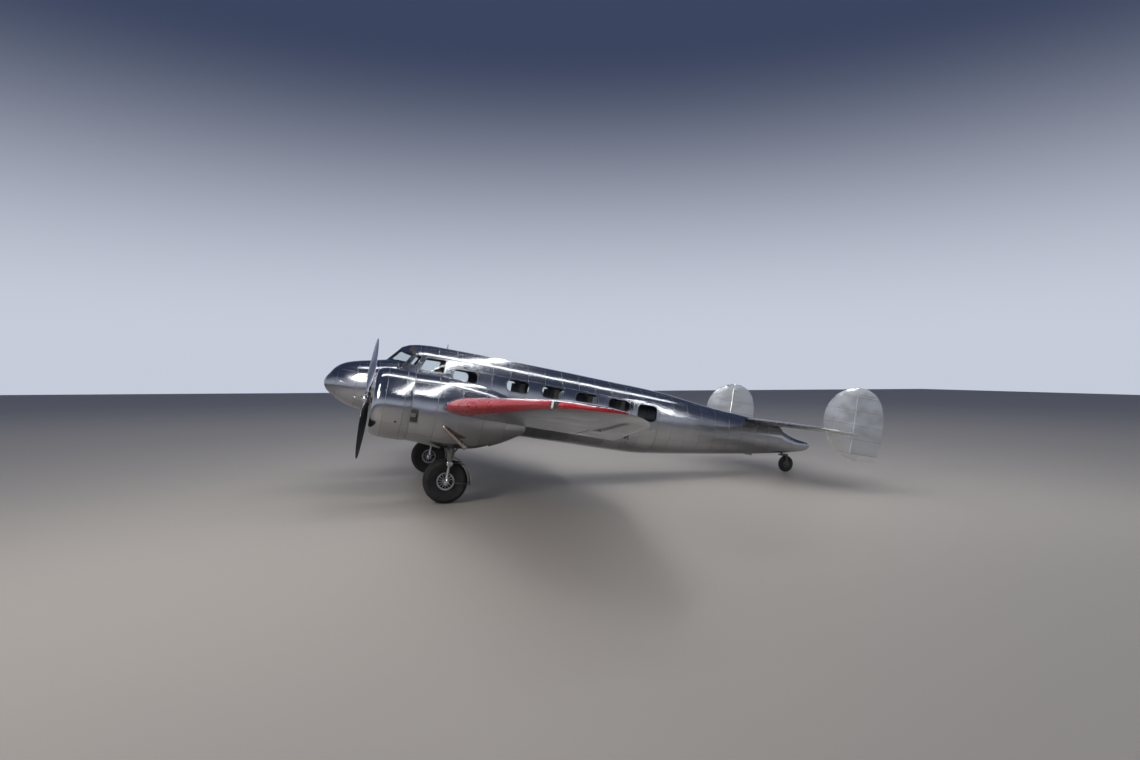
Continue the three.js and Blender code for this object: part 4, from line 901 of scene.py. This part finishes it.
LIE_DOWN = turn(-90, "X")
fins = [(0.030, 0.225), (BARREL_RADIUS, 0.230)]
height = 0.262
for top, core, edge in ((BARREL_TOP, BARREL_RADIUS, FIN_RADIUS), (HEAD_TOP, HEAD_CORE, HEAD_RADIUS)):
    while height < top:
        fins += [(core, height), (edge, height + 0.002), (edge, height + 0.004), (core, height + 0.006)]
        height += FIN_PITCH
fins += [(HEAD_CORE, 0.552), (0.050, 0.572), (0.0, 0.578)]
one_cylinder = turned("cylinder", fins, 28)
rocker = soft_box("rocker_box", (0.030, -0.078, 0.535), (0.072, 0.030, 0.582), 0.012)
other_rocker = copied(rocker, Matrix.Scale(-1, 4, (1, 0, 0)))
other_rocker.data.flip_normals()
one_cylinder = joined("cylinder", [one_cylinder, rocker, other_rocker])
pushrods = joined("pushrods", [
    bent_tube("pushrod", [(x * 0.75, -0.135, 0.225), (x, -0.066, 0.552)], 0.0095) for x in (-0.052, 0.052)
])
PLUG = [(0, 0.0), (0.012, 0.0), (0.012, 0.030), (0.007, 0.034), (0.007, 0.060), (0, 0.062)]
plug = turned("plug", PLUG, 12)
plugs = joined("plugs", [copied(plug, turn(90, "X"), shift(x, -0.070, 0.500)) for x in PLUG_X])
bpy.data.objects.remove(plug)
lead_paths = [
    [(x, -0.130, 0.500), (x * 1.2, -0.160, 0.470), (x, -0.175, 0.400), (x * 0.6, -0.172, 0.330)]
    for x in PLUG_X
]
leads = joined("leads", [bent_tube("lead", path, 0.0055, 3) for path in lead_paths])
case = turned("case", [
    (0.235, -0.895), (0.250, -1.000), (0.252, -1.420), (0.238, -1.452), (0.190, -1.470),
    (0.176, -1.492), (0.168, -1.520), (0.130, -1.552), (0.082, -1.572), (0.060, -1.580),
    (0.045, -1.586), (0.045, -1.600), (0.0, -1.600),
], 48)
moved(case, LIE_DOWN)
NUT = [(0, 0), (0.011, 0), (0.011, 0.012), (0.008, 0.016), (0, 0.016)]
nuts = [
    moved(turned("nut", NUT, 6), turn(90, "X"), shift(0, -1.462, 0.212), turn(20 * i, "Y")) for i in range(18)
]
case = joined("case", [case] + nuts)
RING_RADIUS, RING_TUBE = 0.300, 0.016
ring_angles = [math.radians(30 * i) for i in range(13)]
ring_outline = [(RING_RADIUS + RING_TUBE * math.cos(a), RING_TUBE * math.sin(a)) for a in ring_angles]
ring = turned("ring", ring_outline, 60)
moved(ring, LIE_DOWN, shift(0, -1.460, 0))
INLET_PATH = [(0.20, -0.98, 0.16), (0.27, -1.02, 0.26), (0.20, -1.08, 0.38), (0.10, -1.16, 0.48)]
inlet = bent_tube("inlet", INLET_PATH, 0.030, 4)
engine_paint = finish(
    "engine_grey", (0.16, 0.165, 0.17), (0.09, 0.085, 0.08), metal=0.4, rough=0.42, grain_size=150
)
fin_black = finish(
    "fin_black", (0.035, 0.035, 0.037), (0.07, 0.06, 0.05), metal=0.5, rough=0.5, grain_size=150
)
bright_steel = finish(
    "bright_steel", (0.62, 0.62, 0.62), (0.42, 0.41, 0.40), metal=1.0, rough=0.22, grain_size=90, tall=0.0001
)
brass = finish(
    "ignition_brass", (0.45, 0.33, 0.16), (0.25, 0.19, 0.10), metal=1.0, rough=0.35, grain_size=150
)


def round_the_case(piece, name):
    """Nine of a piece that stands at the top of the engine."""
    place = shift(0, CYLINDER_Y, 0)
    nine = joined(name, [copied(piece, place, turn(40 * i, "Y")) for i in range(9)])
    bpy.data.objects.remove(piece)
    return nine


def shifted_pair(piece, place, material, slot, node=None, body="airframe", stance=PARKED):
    """Sets a piece of the left engine or wheel in its place, and a copy in the same place on the right."""
    other = copied(piece, place, ACROSS)
    other.name = piece.name.replace("left", "right")
    moved(piece, place)
    for side, part in (("left", piece), ("right", other)):
        rides_on = body + side if body.endswith("_") else body
        fitted(part, rides_on, material, slot, stance, (node + side,) if node else ())


engine = [
    (case, "case", engine_paint),
    (round_the_case(one_cylinder, "cylinders"), "cylinders", fin_black),
    (round_the_case(pushrods, "pushrods"), "pushrods", bright_steel),
    (round_the_case(plugs, "plugs"), "plugs", bright_steel),
    (round_the_case(leads, "leads"), "leads", brass),
    (ring, "ignition_ring", brass),
]
inlet_pipes = joined("inlet_pipes", [copied(inlet, turn(40 * i + 12, "Y")) for i in range(9)])
bpy.data.objects.remove(inlet)
engine.append((inlet_pipes, "inlet_pipes", engine_paint))
for piece, name, material in engine:
    piece.name = "engine_left_" + name
    shifted_pair(piece, THRUST_LINE, material, "engine_grey", "engine_")

# Cowls
# A ring of spun and rolled aluminium round each engine, its front edge rolled in. It is held by a strap at
# the back, and a latch closes its seam on the outer side.
COWL = [
    (0.640, -0.900), (0.647, -0.960), (0.650, -1.100), (0.650, -1.250), (0.646, -1.350),
    (0.635, -1.440), (0.620, -1.495), (0.595, -1.535), (0.568, -1.560), (0.540, -1.570),
    (0.515, -1.563), (0.500, -1.545), (0.496, -1.520), (0.505, -1.490), (0.560, -1.430),
    (0.620, -1.360), (0.632, -1.250), (0.628, -0.900),
]
COWL_SEAM = -31
cowl_lay = round_a_tube(ENGINE_X, ENGINE_Z, 0.65, COWL_SEAM)
cowl_skin = aluminium("cowl_skin", cowl_lay, shine=0.12, pitches=(0.34, 1.02), wave=0.004)
cowl = moved(turned("cowl_left_skin", COWL + COWL[:1], 96), LIE_DOWN)
shifted_pair(cowl, THRUST_LINE, cowl_skin, "polished_skin", "cowl_")
latch = soft_box("cowl_left_latch", (0.646, -0.022, -0.013), (0.656, 0.022, 0.013), 0.004)
moved(latch, turn(27, "Y"), shift(0, -1.122, 0), THRUST_LINE)
mirror_pair(latch, fin_black, "dark_steel")

# Roof mast, door handle and landing lamps
# A short tapered mast is bolted to the cabin roof, a bent rod is the door's handle, and a round lamp stands
# in each landing light's well.
MAST = [(0, 0), (0.030, 0), (0.030, 0.006), (0.014, 0.012), (0.007, 0.100), (0.004, 0.106), (0, 0.106)]
fitted(moved(turned("roof_mast", MAST, 20), shift(0, -0.197, 2.562)), "airframe", trim, "polished_skin")
HANDLE_Y, HANDLE_Z = 4.55, 1.560
handle_x = skin_x(CABIN, HANDLE_Y, HANDLE_Z)
HANDLE = [(-0.010, 4.61), (0.022, 4.61), (0.028, 4.60), (0.028, 4.51), (0.022, 4.50), (-0.010, 4.50)]
handle = bent_tube("door_handle", [(handle_x + out, y, HANDLE_Z) for out, y in HANDLE], 0.006)
fitted(handle, "cabin_door", bright_steel, "polished_skin")
lamp = turned("landing_lamp_left", [(0, 0), (0.040, 0), (0.044, 0.004), (0.040, 0.010), (0, 0.014)], 24)
LAMP_X = 7.840
lamp_place = wing_edge(LAMP_X, 0, 1)
moved(lamp, turn(90, "X"), shift(lamp_place.x, lamp_place.y + 0.006, lamp_place.z))
mirror_pair(lamp, lamp_silver, "glazing")

# Propellers
# Two forged and twisted aluminium blades clamped in a steel hub. Their front faces are polished, and their
# backs black so that they don't dazzle the crew. A small oil cylinder in front of the hub turns the blades.
PROPELLER_Y, BLADE_SLICES = -1.670, 40
BLADE = [
    (0.070, 0.066, 0.066, 0),
    (0.150, 0.070, 0.064, 20),
    (0.230, 0.090, 0.070, 52),
    (0.420, 0.170, 0.044, 44),
    (0.700, 0.222, 0.028, 34),
    (0.980, 0.218, 0.020, 27),
    (1.200, 0.176, 0.014, 23),
    (1.320, 0.112, 0.010, 21),
    (1.370, 0.046, 0.007, 20),
]


def blade():
    """One upright blade, drawn out of a disc at its root in thin slices."""
    at, (width, thickness, pitch) = BLADE[0][0], BLADE[0][1:]
    disc = {"vertices": 24, "radius": 0.5, "fill_type": "NGON", "location": (0, 0, at)}
    piece = started(bpy.ops.mesh.primitive_circle_add, "blade", **disc)
    edit_all()
    bpy.ops.transform.resize(value=(width, thickness, 1), center_override=(0, 0, at))
    for i in range(1, BLADE_SLICES + 1):
        up = BLADE[0][0] + (BLADE[-1][0] - BLADE[0][0]) * i / BLADE_SLICES
        now_width, now_thickness, now_pitch = row_at(BLADE, up)
        bpy.ops.mesh.extrude_region_move(TRANSFORM_OT_translate={"value": (0, 0, up - at)})
        centre = {"orient_axis": "Z", "center_override": (0, 0, up)}
        bpy.ops.transform.rotate(value=math.radians(pitch), **centre)
        change = (now_width / width, now_thickness / thickness, 1)
        bpy.ops.transform.resize(value=change, center_override=(0, 0, up))
        bpy.ops.transform.rotate(value=-math.radians(now_pitch), **centre)
        at, width, thickness, pitch = up, now_width, now_thickness, now_pitch
    bpy.ops.mesh.select_all(action="SELECT")
    bpy.ops.mesh.normals_make_consistent(inside=False)
    bpy.ops.object.mode_set(mode="OBJECT")
    return smooth(piece, 50)


def mirrored(half, middle=()):
    """A whole outline of radius and height, from its lower half and any point on its middle line."""
    return half + list(middle) + [(radius, -height) for radius, height in reversed(half)]


HUB_PLACE = [turn(-33, "Y"), shift(0, PROPELLER_Y, 0), THRUST_LINE]
one_blade = blade()
blades = joined("blades", [one_blade, copied(one_blade, turn(180, "Y"))])
barrel = turned("barrel", mirrored([
    (0, -0.150), (0.044, -0.150), (0.050, -0.146), (0.050, -0.112), (0.062, -0.108),
    (0.062, -0.040), (0.070, -0.030),
]), 28)
hub = turned("hub", [
    (0, -0.230), (0.022, -0.230), (0.026, -0.224), (0.026, -0.110), (0.040, -0.100),
    (0.044, -0.070), (0.095, -0.055), (0.108, -0.020), (0.108, 0.020), (0.092, 0.045),
    (0.060, 0.060), (0.060, 0.069), (0, 0.069),
], 32)
moved(hub, LIE_DOWN)
clamps = [soft_box("clamp", (0.052, -0.030, z), (0.092, 0.030, z + 0.034), 0.008) for z in (-0.120, 0.086)]
BOLT = [(0, 0), (0.008, 0), (0.008, 0.084), (0, 0.084)]
bolts = [moved(turned("bolt", BOLT, 8), turn(90, "X"), shift(0.074, 0.042, z)) for z in (-0.103, 0.103)]
hub = joined("hub", [hub, barrel] + clamps + bolts)
# The polish is tinted blue: a painted blue reflection on the blades' front faces.
blade_face_blue_reflection = finish(
    "blade_polish_painted_blue_reflection", (0.84, 0.87, 0.93), (0.66, 0.68, 0.72), metal=1.0, rough=0.36, grain_size=60, tall=0.0001
)
blade_black = finish(
    "blade_black", (0.014, 0.014, 0.015), (0.03, 0.03, 0.03), rough=0.5, grain_size=200, tall=0.0001
)
for side, steps in (("left", []), ("right", [ACROSS])):
    name = "propeller_" + side
    pair = copied(blades, *HUB_PLACE, *steps)
    pair.name = name + "_blades"
    fitted(pair, name, blade_face_blue_reflection, "polished_skin", nodes=(name,))
    pair.data.materials.append(blade_black)
    to_level = LEVEL.to_3x3()
    for face in pair.data.polygons:
        face.material_index = int((to_level @ face.normal).y > 0.05)
    centre = copied(hub, *HUB_PLACE, *steps)
    centre.name = name + "_hub"
    fitted(centre, name, bright_steel, "dark_steel", nodes=(name,))
bpy.data.objects.remove(blades)
bpy.data.objects.remove(hub)

# Exhausts
# One bent steel pipe out of the outer side of each nacelle, browned by heat. It is thin and open at its end.
EXHAUST = [(2.560, -0.340, 1.070), (2.690, -0.250, 1.030), (2.738, -0.050, 0.890), (2.742, 0.195, 0.715)]
exhaust_table = [(i, *place) for i, place in enumerate(EXHAUST)]
path = [Vector(row_at(exhaust_table, i / 8)) for i in range(8 * (len(EXHAUST) - 1) + 1)]
pipe = bent_tube("exhaust_left_pipe", path, 0.050, 6, cap=False)
PIPE_WALL = 0.003
thickened(pipe, PIPE_WALL)
heat_brown = finish(
    "heat_browned_steel", (0.52, 0.48, 0.44), (0.33, 0.27, 0.22),
    metal=1.0, rough=0.27, grain_size=50, tall=0.0001,
)
mirror_pair(pipe, heat_brown, "exhaust", "exhaust_")

# Tail
# A tailplane with an oval fin at each end, all ribbed and covered in thin polished sheet. The elevator hangs
# behind the tailplane, and a rudder on pins behind each fin. A row gives a place along a surface, its front
# edge, its rear edge and its thickness.
TAIL_SECTION = [(0, 0), (0.06, 0.3), (0.25, 0.5), (0.6, 0.38), (1, 0.05)]
TAILPLANE = [
    (0.0, 7.080, 8.790, 0.120),
    (1.5, 7.180, 8.780, 0.110),
    (2.66, 7.310, 8.700, 0.090),
    (2.88, 7.380, 8.560, 0.076),
    (3.0, 7.520, 8.400, 0.050),
    (3.05, 7.750, 8.200, 0.024),
]
FIN = [
    (1.640, 8.420, 8.700, 0.020),
    (1.700, 8.130, 8.860, 0.044),
    (1.850, 7.840, 8.930, 0.062),
    (2.100, 7.600, 8.965, 0.074),
    (2.400, 7.490, 8.965, 0.078),
    (2.700, 7.530, 8.930, 0.074),
    (2.950, 7.700, 8.830, 0.062),
    (3.120, 7.950, 8.660, 0.044),
    (3.200, 8.190, 8.450, 0.020),
]


def leaf_slopes(table, along, y):
    """The way a thin tail surface faces at a place along it, as its two components per metre of thickness."""
    def half(at, back):
        front, rear, thickness = row_at(table, at)
        share = min(max((back - front) / (rear - front), 0), 1)
        return row_at(TAIL_SECTION, share)[0] * thickness
    step = 0.01
    return (
        (half(along + step, y) - half(along - step, y)) / (2 * step),
        (half(along, y + step) - half(along, y - step)) / (2 * step),
    )


def tailplane_slopes(point):
    out, back = leaf_slopes(TAILPLANE, abs(point.x), point.y)
    out = math.copysign(out, point.x * out) if point.x else out
    return [Vector((-out, -back, sign)).normalized() for sign in (1, -1)]


def fin_slopes(point):
    up, back = leaf_slopes(FIN, point.z, point.y)
    return [Vector((sign, -back, -up)).normalized() for sign in (1, -1)]


HINGE_Y, HINGE_ROOM = 8.209, 0.060


def onto_fin(point):
    """A point of a fin or rudder, moved with the outline to its true curve. The hinge and its pins stay."""
    at = min(max(point.z, FIN[0][0]), FIN[-1][0])
    first = next(i for i in range(len(FIN) - 1) if at <= FIN[i + 1][0])
    share = (at - FIN[first][0]) / (FIN[first + 1][0] - FIN[first][0])
    edge = 1 if point.y < HINGE_Y else 2
    straight = FIN[first][edge] + (FIN[first + 1][edge] - FIN[first][edge]) * share
    back = (abs(point.y - HINGE_Y) - HINGE_ROOM) / (abs(straight - HINGE_Y) - HINGE_ROOM)
    back = min(max(back, 0), 1)
    return point + Vector((0, (row_at(FIN, at)[edge - 1] - straight) * back, 0))


def up_the_fin(tree, x, y, z):
    return z, y


tail_skin = aluminium("tail_skin", down_the_span, shine=0.2, pitches=(0.42, 0.55))
fin_skin = aluminium(
    "fin_skin", up_the_fin, tone=(0.82, 0.82, 0.80), shine=0.28, pitches=(0.30, 0.7), wave=0.025
)
rudder_skin = aluminium(
    "rudder_skin", up_the_fin, tone=(0.70, 0.71, 0.70), shine=0.30, pitches=(0.30, 0.9), wave=0.025
)
skinned("tailplane", "airframe", tail_skin, "polished_skin", tailplane_slopes, 25)
skinned("elevator", "elevator", tail_skin, "polished_skin", tailplane_slopes, 25)
fin_cuts = [(Vector((0, 0, 1.64 + 0.03 * i)), Vector((0, 0, 1))) for i in range(1, 52)]
for side in ("left", "right"):
    fin, rudder = "fin_" + side, "rudder_" + side
    for node, body, skin in ((fin, "airframe", fin_skin), (rudder, rudder, rudder_skin)):
        skinned(node, body, skin, "polished_skin", fin_slopes, 25, None, onto_fin, fin_cuts)

# Main gear
# A steel leg stands on each side of a wheel. A cross tube joins the two above it, and braces hold them in the
# wheel well. The lower arms are bright, the rest is painted dark.
leg_paint = finish("leg_paint", (0.07, 0.075, 0.08), (0.13, 0.13, 0.12), metal=0.3, rough=0.4, grain_size=120)


def smooth_copy(node, body, material):
    """Stands for a CAD node with the same shape, its round parts shaded smooth."""
    piece = smooth(merged_copy(node))
    piece.data.materials.append(material)
    stands_for(piece, node, body)


LEG_X, KNUCKLE_Z, LEG_TOP, CROSS_TUBE_Z = 0.215, 0.350, 0.870, 0.640
FRONT_PAD, REAR_PAD = -0.190, 0.250
BRACES = [
    ((0.025, 0.545), REAR_PAD, 0.020),
    ((-0.035, 0.545), FRONT_PAD, 0.013),
    ((-0.035, 0.450), FRONT_PAD, 0.013),
]
arm = turned("arm", [
    (0, -0.058), (0.026, -0.058), (0.040, -0.050), (0.042, 0.030), (0.031, 0.055), (0.028, 0.090),
    (0.028, 0.285), (0.034, 0.300), (0.046, 0.312), (0.046, 0.400), (0.040, 0.410), (0, 0.410),
], 28)
cap = turned("cap", [
    (0, 0), (0.054, 0), (0.058, 0.004), (0.058, 0.012), (0.052, 0.016), (0.026, 0.018),
    (0.022, 0.026), (0, 0.026),
], 28)
LIE_ACROSS = turn(90, "Y")
axle = moved(turned("axle", mirrored([(0, -0.262), (0.030, -0.262), (0.0345, -0.256)]), 24), LIE_ACROSS)
bright_parts, dark_parts = [axle], []
for sign in (1, -1):
    on_leg, face_out = shift(sign * LEG_X, 0, 0), turn(90 * sign, "Y")
    bright_parts.append(copied(arm, on_leg))
    bright_parts.append(copied(cap, face_out, shift(sign * (LEG_X + 0.040), 0, KNUCKLE_Z)))
    bright_parts.append(copied(cap, Matrix.Scale(0.7, 4), face_out, shift(sign * (LEG_X + 0.036), 0, 0)))
    collar = turned("collar", [(0.036, 0), (0.052, 0), (0.052, 0.050), (0.036, 0.050), (0.036, 0)], 24)
    bright_parts.append(moved(collar, LIE_ACROSS, shift(sign * 0.142 - 0.025, 0, 0)))
    strut = turned("strut", [(0, 0.400), (0.044, 0.400), (0.044, 0.895), (0, 0.895)], 24)
    dark_parts.append(moved(strut, on_leg))
    block = soft_box("leg_block", (-0.038, -0.058, 0.415), (0.038, 0.058, 0.585), 0.012)
    dark_parts.append(moved(block, on_leg))
    for foot, head, radius in BRACES:
        path = [(sign * LEG_X, *foot), (sign * LEG_X, head, LEG_TOP)]
        dark_parts.append(bent_tube("brace", path, radius))
    for y in (REAR_PAD, FRONT_PAD):
        pad = soft_box("brace_pad", (-0.030, -0.035, LEG_TOP - 0.030), (0.030, 0.035, LEG_TOP + 0.028), 0.008)
        dark_parts.append(moved(pad, shift(sign * LEG_X, y, 0)))
dark_parts.append(bent_tube("cross_tube", [(-LEG_X, 0, CROSS_TUBE_Z), (LEG_X, 0, CROSS_TUBE_Z)], 0.034, 6))
arms = joined("gear_arms_left", bright_parts)
struts = joined("gear_struts_left", dark_parts)
bpy.data.objects.remove(arm)
bpy.data.objects.remove(cap)
ON_WHEEL = shift(ENGINE_X, 0, 0)
for part, material in ((arms, bright_steel), (struts, leg_paint)):
    shifted_pair(part, ON_WHEEL, material, "dark_steel", "gear_leg_")

# Mudguards
# A curved sheet behind each wheel, painted dark, with a bright rolled edge along each side. It is held by
# brackets and stays from the legs.
GUARD_RADIUS, GUARD_HALF = 0.4645, 0.165
guard_paint = finish(
    "guard_paint", (0.03, 0.033, 0.035), (0.08, 0.08, 0.075), metal=0.3, rough=0.35, grain_size=100
)
guard_angles = [math.radians(2 + 4.25 * i) for i in range(21)]
arc = [Vector((0, math.sin(a) * GUARD_RADIUS, math.cos(a) * GUARD_RADIUS)) for a in guard_angles]
beads = joined("guard_beads_left", [
    bent_tube("bead", [place + Vector((x, 0, 0)) for place in arc], 0.007, 3)
    for x in (-GUARD_HALF, GUARD_HALF)
])
shifted_pair(beads, ON_WHEEL, bright_steel, "polished_skin")
for side in ("left", "right"):
    smooth_copy("mudguard_" + side, "airframe", guard_paint)

# Main wheels
# Low-pressure tyres with faint side ribs and shallow grooves, on cast wheels: a bright rim, thin spokes and a
# hub that turns on the axle, with a dark brake drum behind the spokes.
TYRE = [
    (0.188, -0.080), (0.188, -0.0825), (0.168, -0.0835), (0.170, -0.092), (0.184, -0.098),
    (0.200, -0.106), (0.225, -0.119), (0.260, -0.1276), (0.300, -0.139), (0.335, -0.145),
    (0.342, -0.1475), (0.350, -0.1440), (0.366, -0.138), (0.390, -0.1189), (0.404, -0.095),
    (0.414, -0.066), (0.407, -0.061), (0.417, -0.056), (0.419, -0.034), (0.412, -0.030),
    (0.4195, -0.026),
]
tyre_outline = mirrored(TYRE, [(0.420, 0.0)])
rubber = finish(
    "tyre_rubber", (0.007, 0.007, 0.0075), (0.018, 0.017, 0.016), rough=0.75, grain_size=260, tall=0.0006
)
tyre = moved(turned("tyre_left_rubber", tyre_outline + tyre_outline[:1], 72), LIE_ACROSS)
rim_outline = mirrored([
    (0.158, -0.040), (0.136, -0.070), (0.140, -0.080), (0.164, -0.082), (0.184, -0.080),
    (0.1868, -0.076),
])
rim = moved(turned("rim", rim_outline + rim_outline[:1], 64), LIE_ACROSS)
hub_outline = mirrored([
    (0.036, -0.108), (0.062, -0.108), (0.066, -0.100), (0.066, -0.062), (0.050, -0.050),
])
hub = moved(turned("wheel_hub", hub_outline + hub_outline[:1], 40), LIE_ACROSS)
SPOKES = 14
spoke = soft_box("spoke", (-0.062, -0.0055, 0.052), (0.062, 0.0055, 0.150), 0.003)
bpy.ops.object.mode_set(mode="EDIT")
bpy.ops.mesh.select_all(action="DESELECT")
shape = bmesh.from_edit_mesh(spoke.data)
for corner in shape.verts:
    corner.select = corner.co.z < 0.1
bmesh.update_edit_mesh(spoke.data)
bpy.ops.transform.resize(value=(1.2, 1.5, 1), center_override=(0, 0, 0.06))
bpy.ops.object.mode_set(mode="OBJECT")
spokes = [copied(spoke, turn(360 / SPOKES * i, "X")) for i in range(SPOKES)]
bpy.data.objects.remove(spoke)
wheel = joined("wheel_left_casting", [rim, hub] + spokes)
drum_outline = mirrored([(0.040, -0.020), (0.148, -0.020), (0.152, -0.016)])
drum = moved(turned("wheel_left_drum", drum_outline + drum_outline[:1], 48), LIE_ACROSS)
drum_black = finish(
    "drum_black", (0.012, 0.012, 0.012), (0.025, 0.024, 0.022), metal=0.3, rough=0.6, grain_size=90
)
wheel_alloy = finish(
    "wheel_alloy", (0.50, 0.51, 0.52), (0.28, 0.28, 0.28), metal=0.9, rough=0.34, grain_size=150
)
for part, material, slot, node in (
    (tyre, rubber, "tyre", "tyre_"),
    (wheel, wheel_alloy, "polished_skin", "wheel_rim_"),
    (drum, drum_black, "dark_steel", None),
):
    shifted_pair(part, ON_WHEEL, material, slot, node, "wheel_", ON_AXLE)

# Tail wheel
# A small solid tyre on a dished disc, painted dark. It turns on an axle in a steel fork that swivels under
# the tail cone.
tail_low, tail_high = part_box("tail_tyre")
TAIL_AXLE = (tail_low + tail_high) / 2
TAIL_TYRE = [
    (0.092, -0.034), (0.110, -0.042), (0.130, -0.046), (0.155, -0.043), (0.178, -0.0368),
    (0.192, -0.026), (0.2, -0.012),
]
tail_outline = mirrored(TAIL_TYRE, [(0.2, 0)])
tail_tyre = moved(turned("tail_tyre_rubber", tail_outline + tail_outline[:1], 48), LIE_ACROSS)
fitted(tail_tyre, "tail_wheel", rubber, "tyre", Matrix.Translation(TAIL_AXLE), ("tail_tyre",))
TAIL_RIM = mirrored([
    (0.0148, -0.056), (0.028, -0.056), (0.032, -0.024), (0.040, -0.016), (0.072, -0.014),
    (0.078, -0.018), (0.082, -0.034), (0.0904, -0.034),
])
tail_rim = moved(turned("tail_wheel_disc", TAIL_RIM + TAIL_RIM[:1], 40), LIE_ACROSS)
fitted(tail_rim, "tail_wheel", leg_paint, "dark_steel", Matrix.Translation(TAIL_AXLE), ("tail_wheel_rim",))
smooth_copy("tail_wheel_fork", "tail_fork", leg_paint)

# Floor, light and camera
# A plain pale floor under a sky that darkens upwards, and long soft lights that draw highlights along the
# metal. The camera stands where the photograph was taken from.
bpy.ops.object.select_all(action="DESELECT")
bpy.ops.mesh.primitive_plane_add(size=160, location=(0, 0, 0))
floor = bpy.context.object
floor.name = "studio_floor"
floor_paint, tree, shader = empty_material("studio_floor_paint")
shader.inputs["Base Color"].default_value = (0.43, 0.395, 0.35, 1)
shader.inputs["Roughness"].default_value = 0.5
floor.data.materials.append(floor_paint)

world = bpy.data.worlds.new("studio")
bpy.context.scene.world = world
world.use_nodes = True
tree = world.node_tree
up = tree.nodes.new("ShaderNodeSeparateXYZ")
tree.links.new(tree.nodes.new("ShaderNodeTexCoord").outputs["Generated"], up.inputs[0])
walls = fade(tree, up.outputs[2], 0.05, 0.42)
ceiling = mixed(tree, walls, (0.045, 0.060, 0.115), (0.56, 0.60, 0.70))
tree.links.new(ceiling, tree.nodes["Background"].inputs["Color"])
tree.nodes["Background"].inputs["Strength"].default_value = 1.0


def soft_light(name, place, target, size, power, colour=(1, 1, 1)):
    lamp = bpy.data.lights.new(name, "AREA")
    lamp.shape = "RECTANGLE"
    lamp.size, lamp.size_y = size
    lamp.energy = power
    lamp.color = colour
    holder = bpy.data.objects.new(name, lamp)
    bpy.context.scene.collection.objects.link(holder)
    holder.location = place
    holder.rotation_euler = (Vector(target) - Vector(place)).to_track_quat("-Z", "Y").to_euler()
    return holder


soft_light("key_light", (11, -12, 8), (0, -1, 1.5), (1.2, 4), 520, (1, 0.96, 0.9))
soft_light("front_strip", (6, -9, 7), (1, -3, 1.5), (0.25, 4), 90)
soft_light("middle_strip", (5, -2, 8), (0.5, 0, 1), (0.22, 8), 120)
soft_light("far_strip", (-5, 0, 8), (0, 0, 1), (0.3, 14), 160)
soft_light("rear_strip", (7, 8, 7), (0, 3, 1.5), (0.25, 6), 120)
soft_light("overhead_strip", (0.5, 1, 10), (0.5, 1, 0), (0.4, 16), 220)
# One broad light fills the floor and doesn't show in the polished metal
soft_light("broad_fill", (0, 0, 22), (0, 0, 0), (50, 50), 4000).visible_glossy = False
bpy.context.scene.view_settings.view_transform = "Standard"

camera = bpy.data.objects.new("camera", bpy.data.cameras.new("camera"))
bpy.context.scene.collection.objects.link(camera)
camera.location = (15.751, -1.293 + AXLE.y, 2.445)
camera.rotation_euler = (math.radians(90), 0, math.radians(74.659))
camera.data.lens = 22.555
camera.data.shift_y = -0.0056
camera.data.clip_end = 300
bpy.context.scene.camera = camera
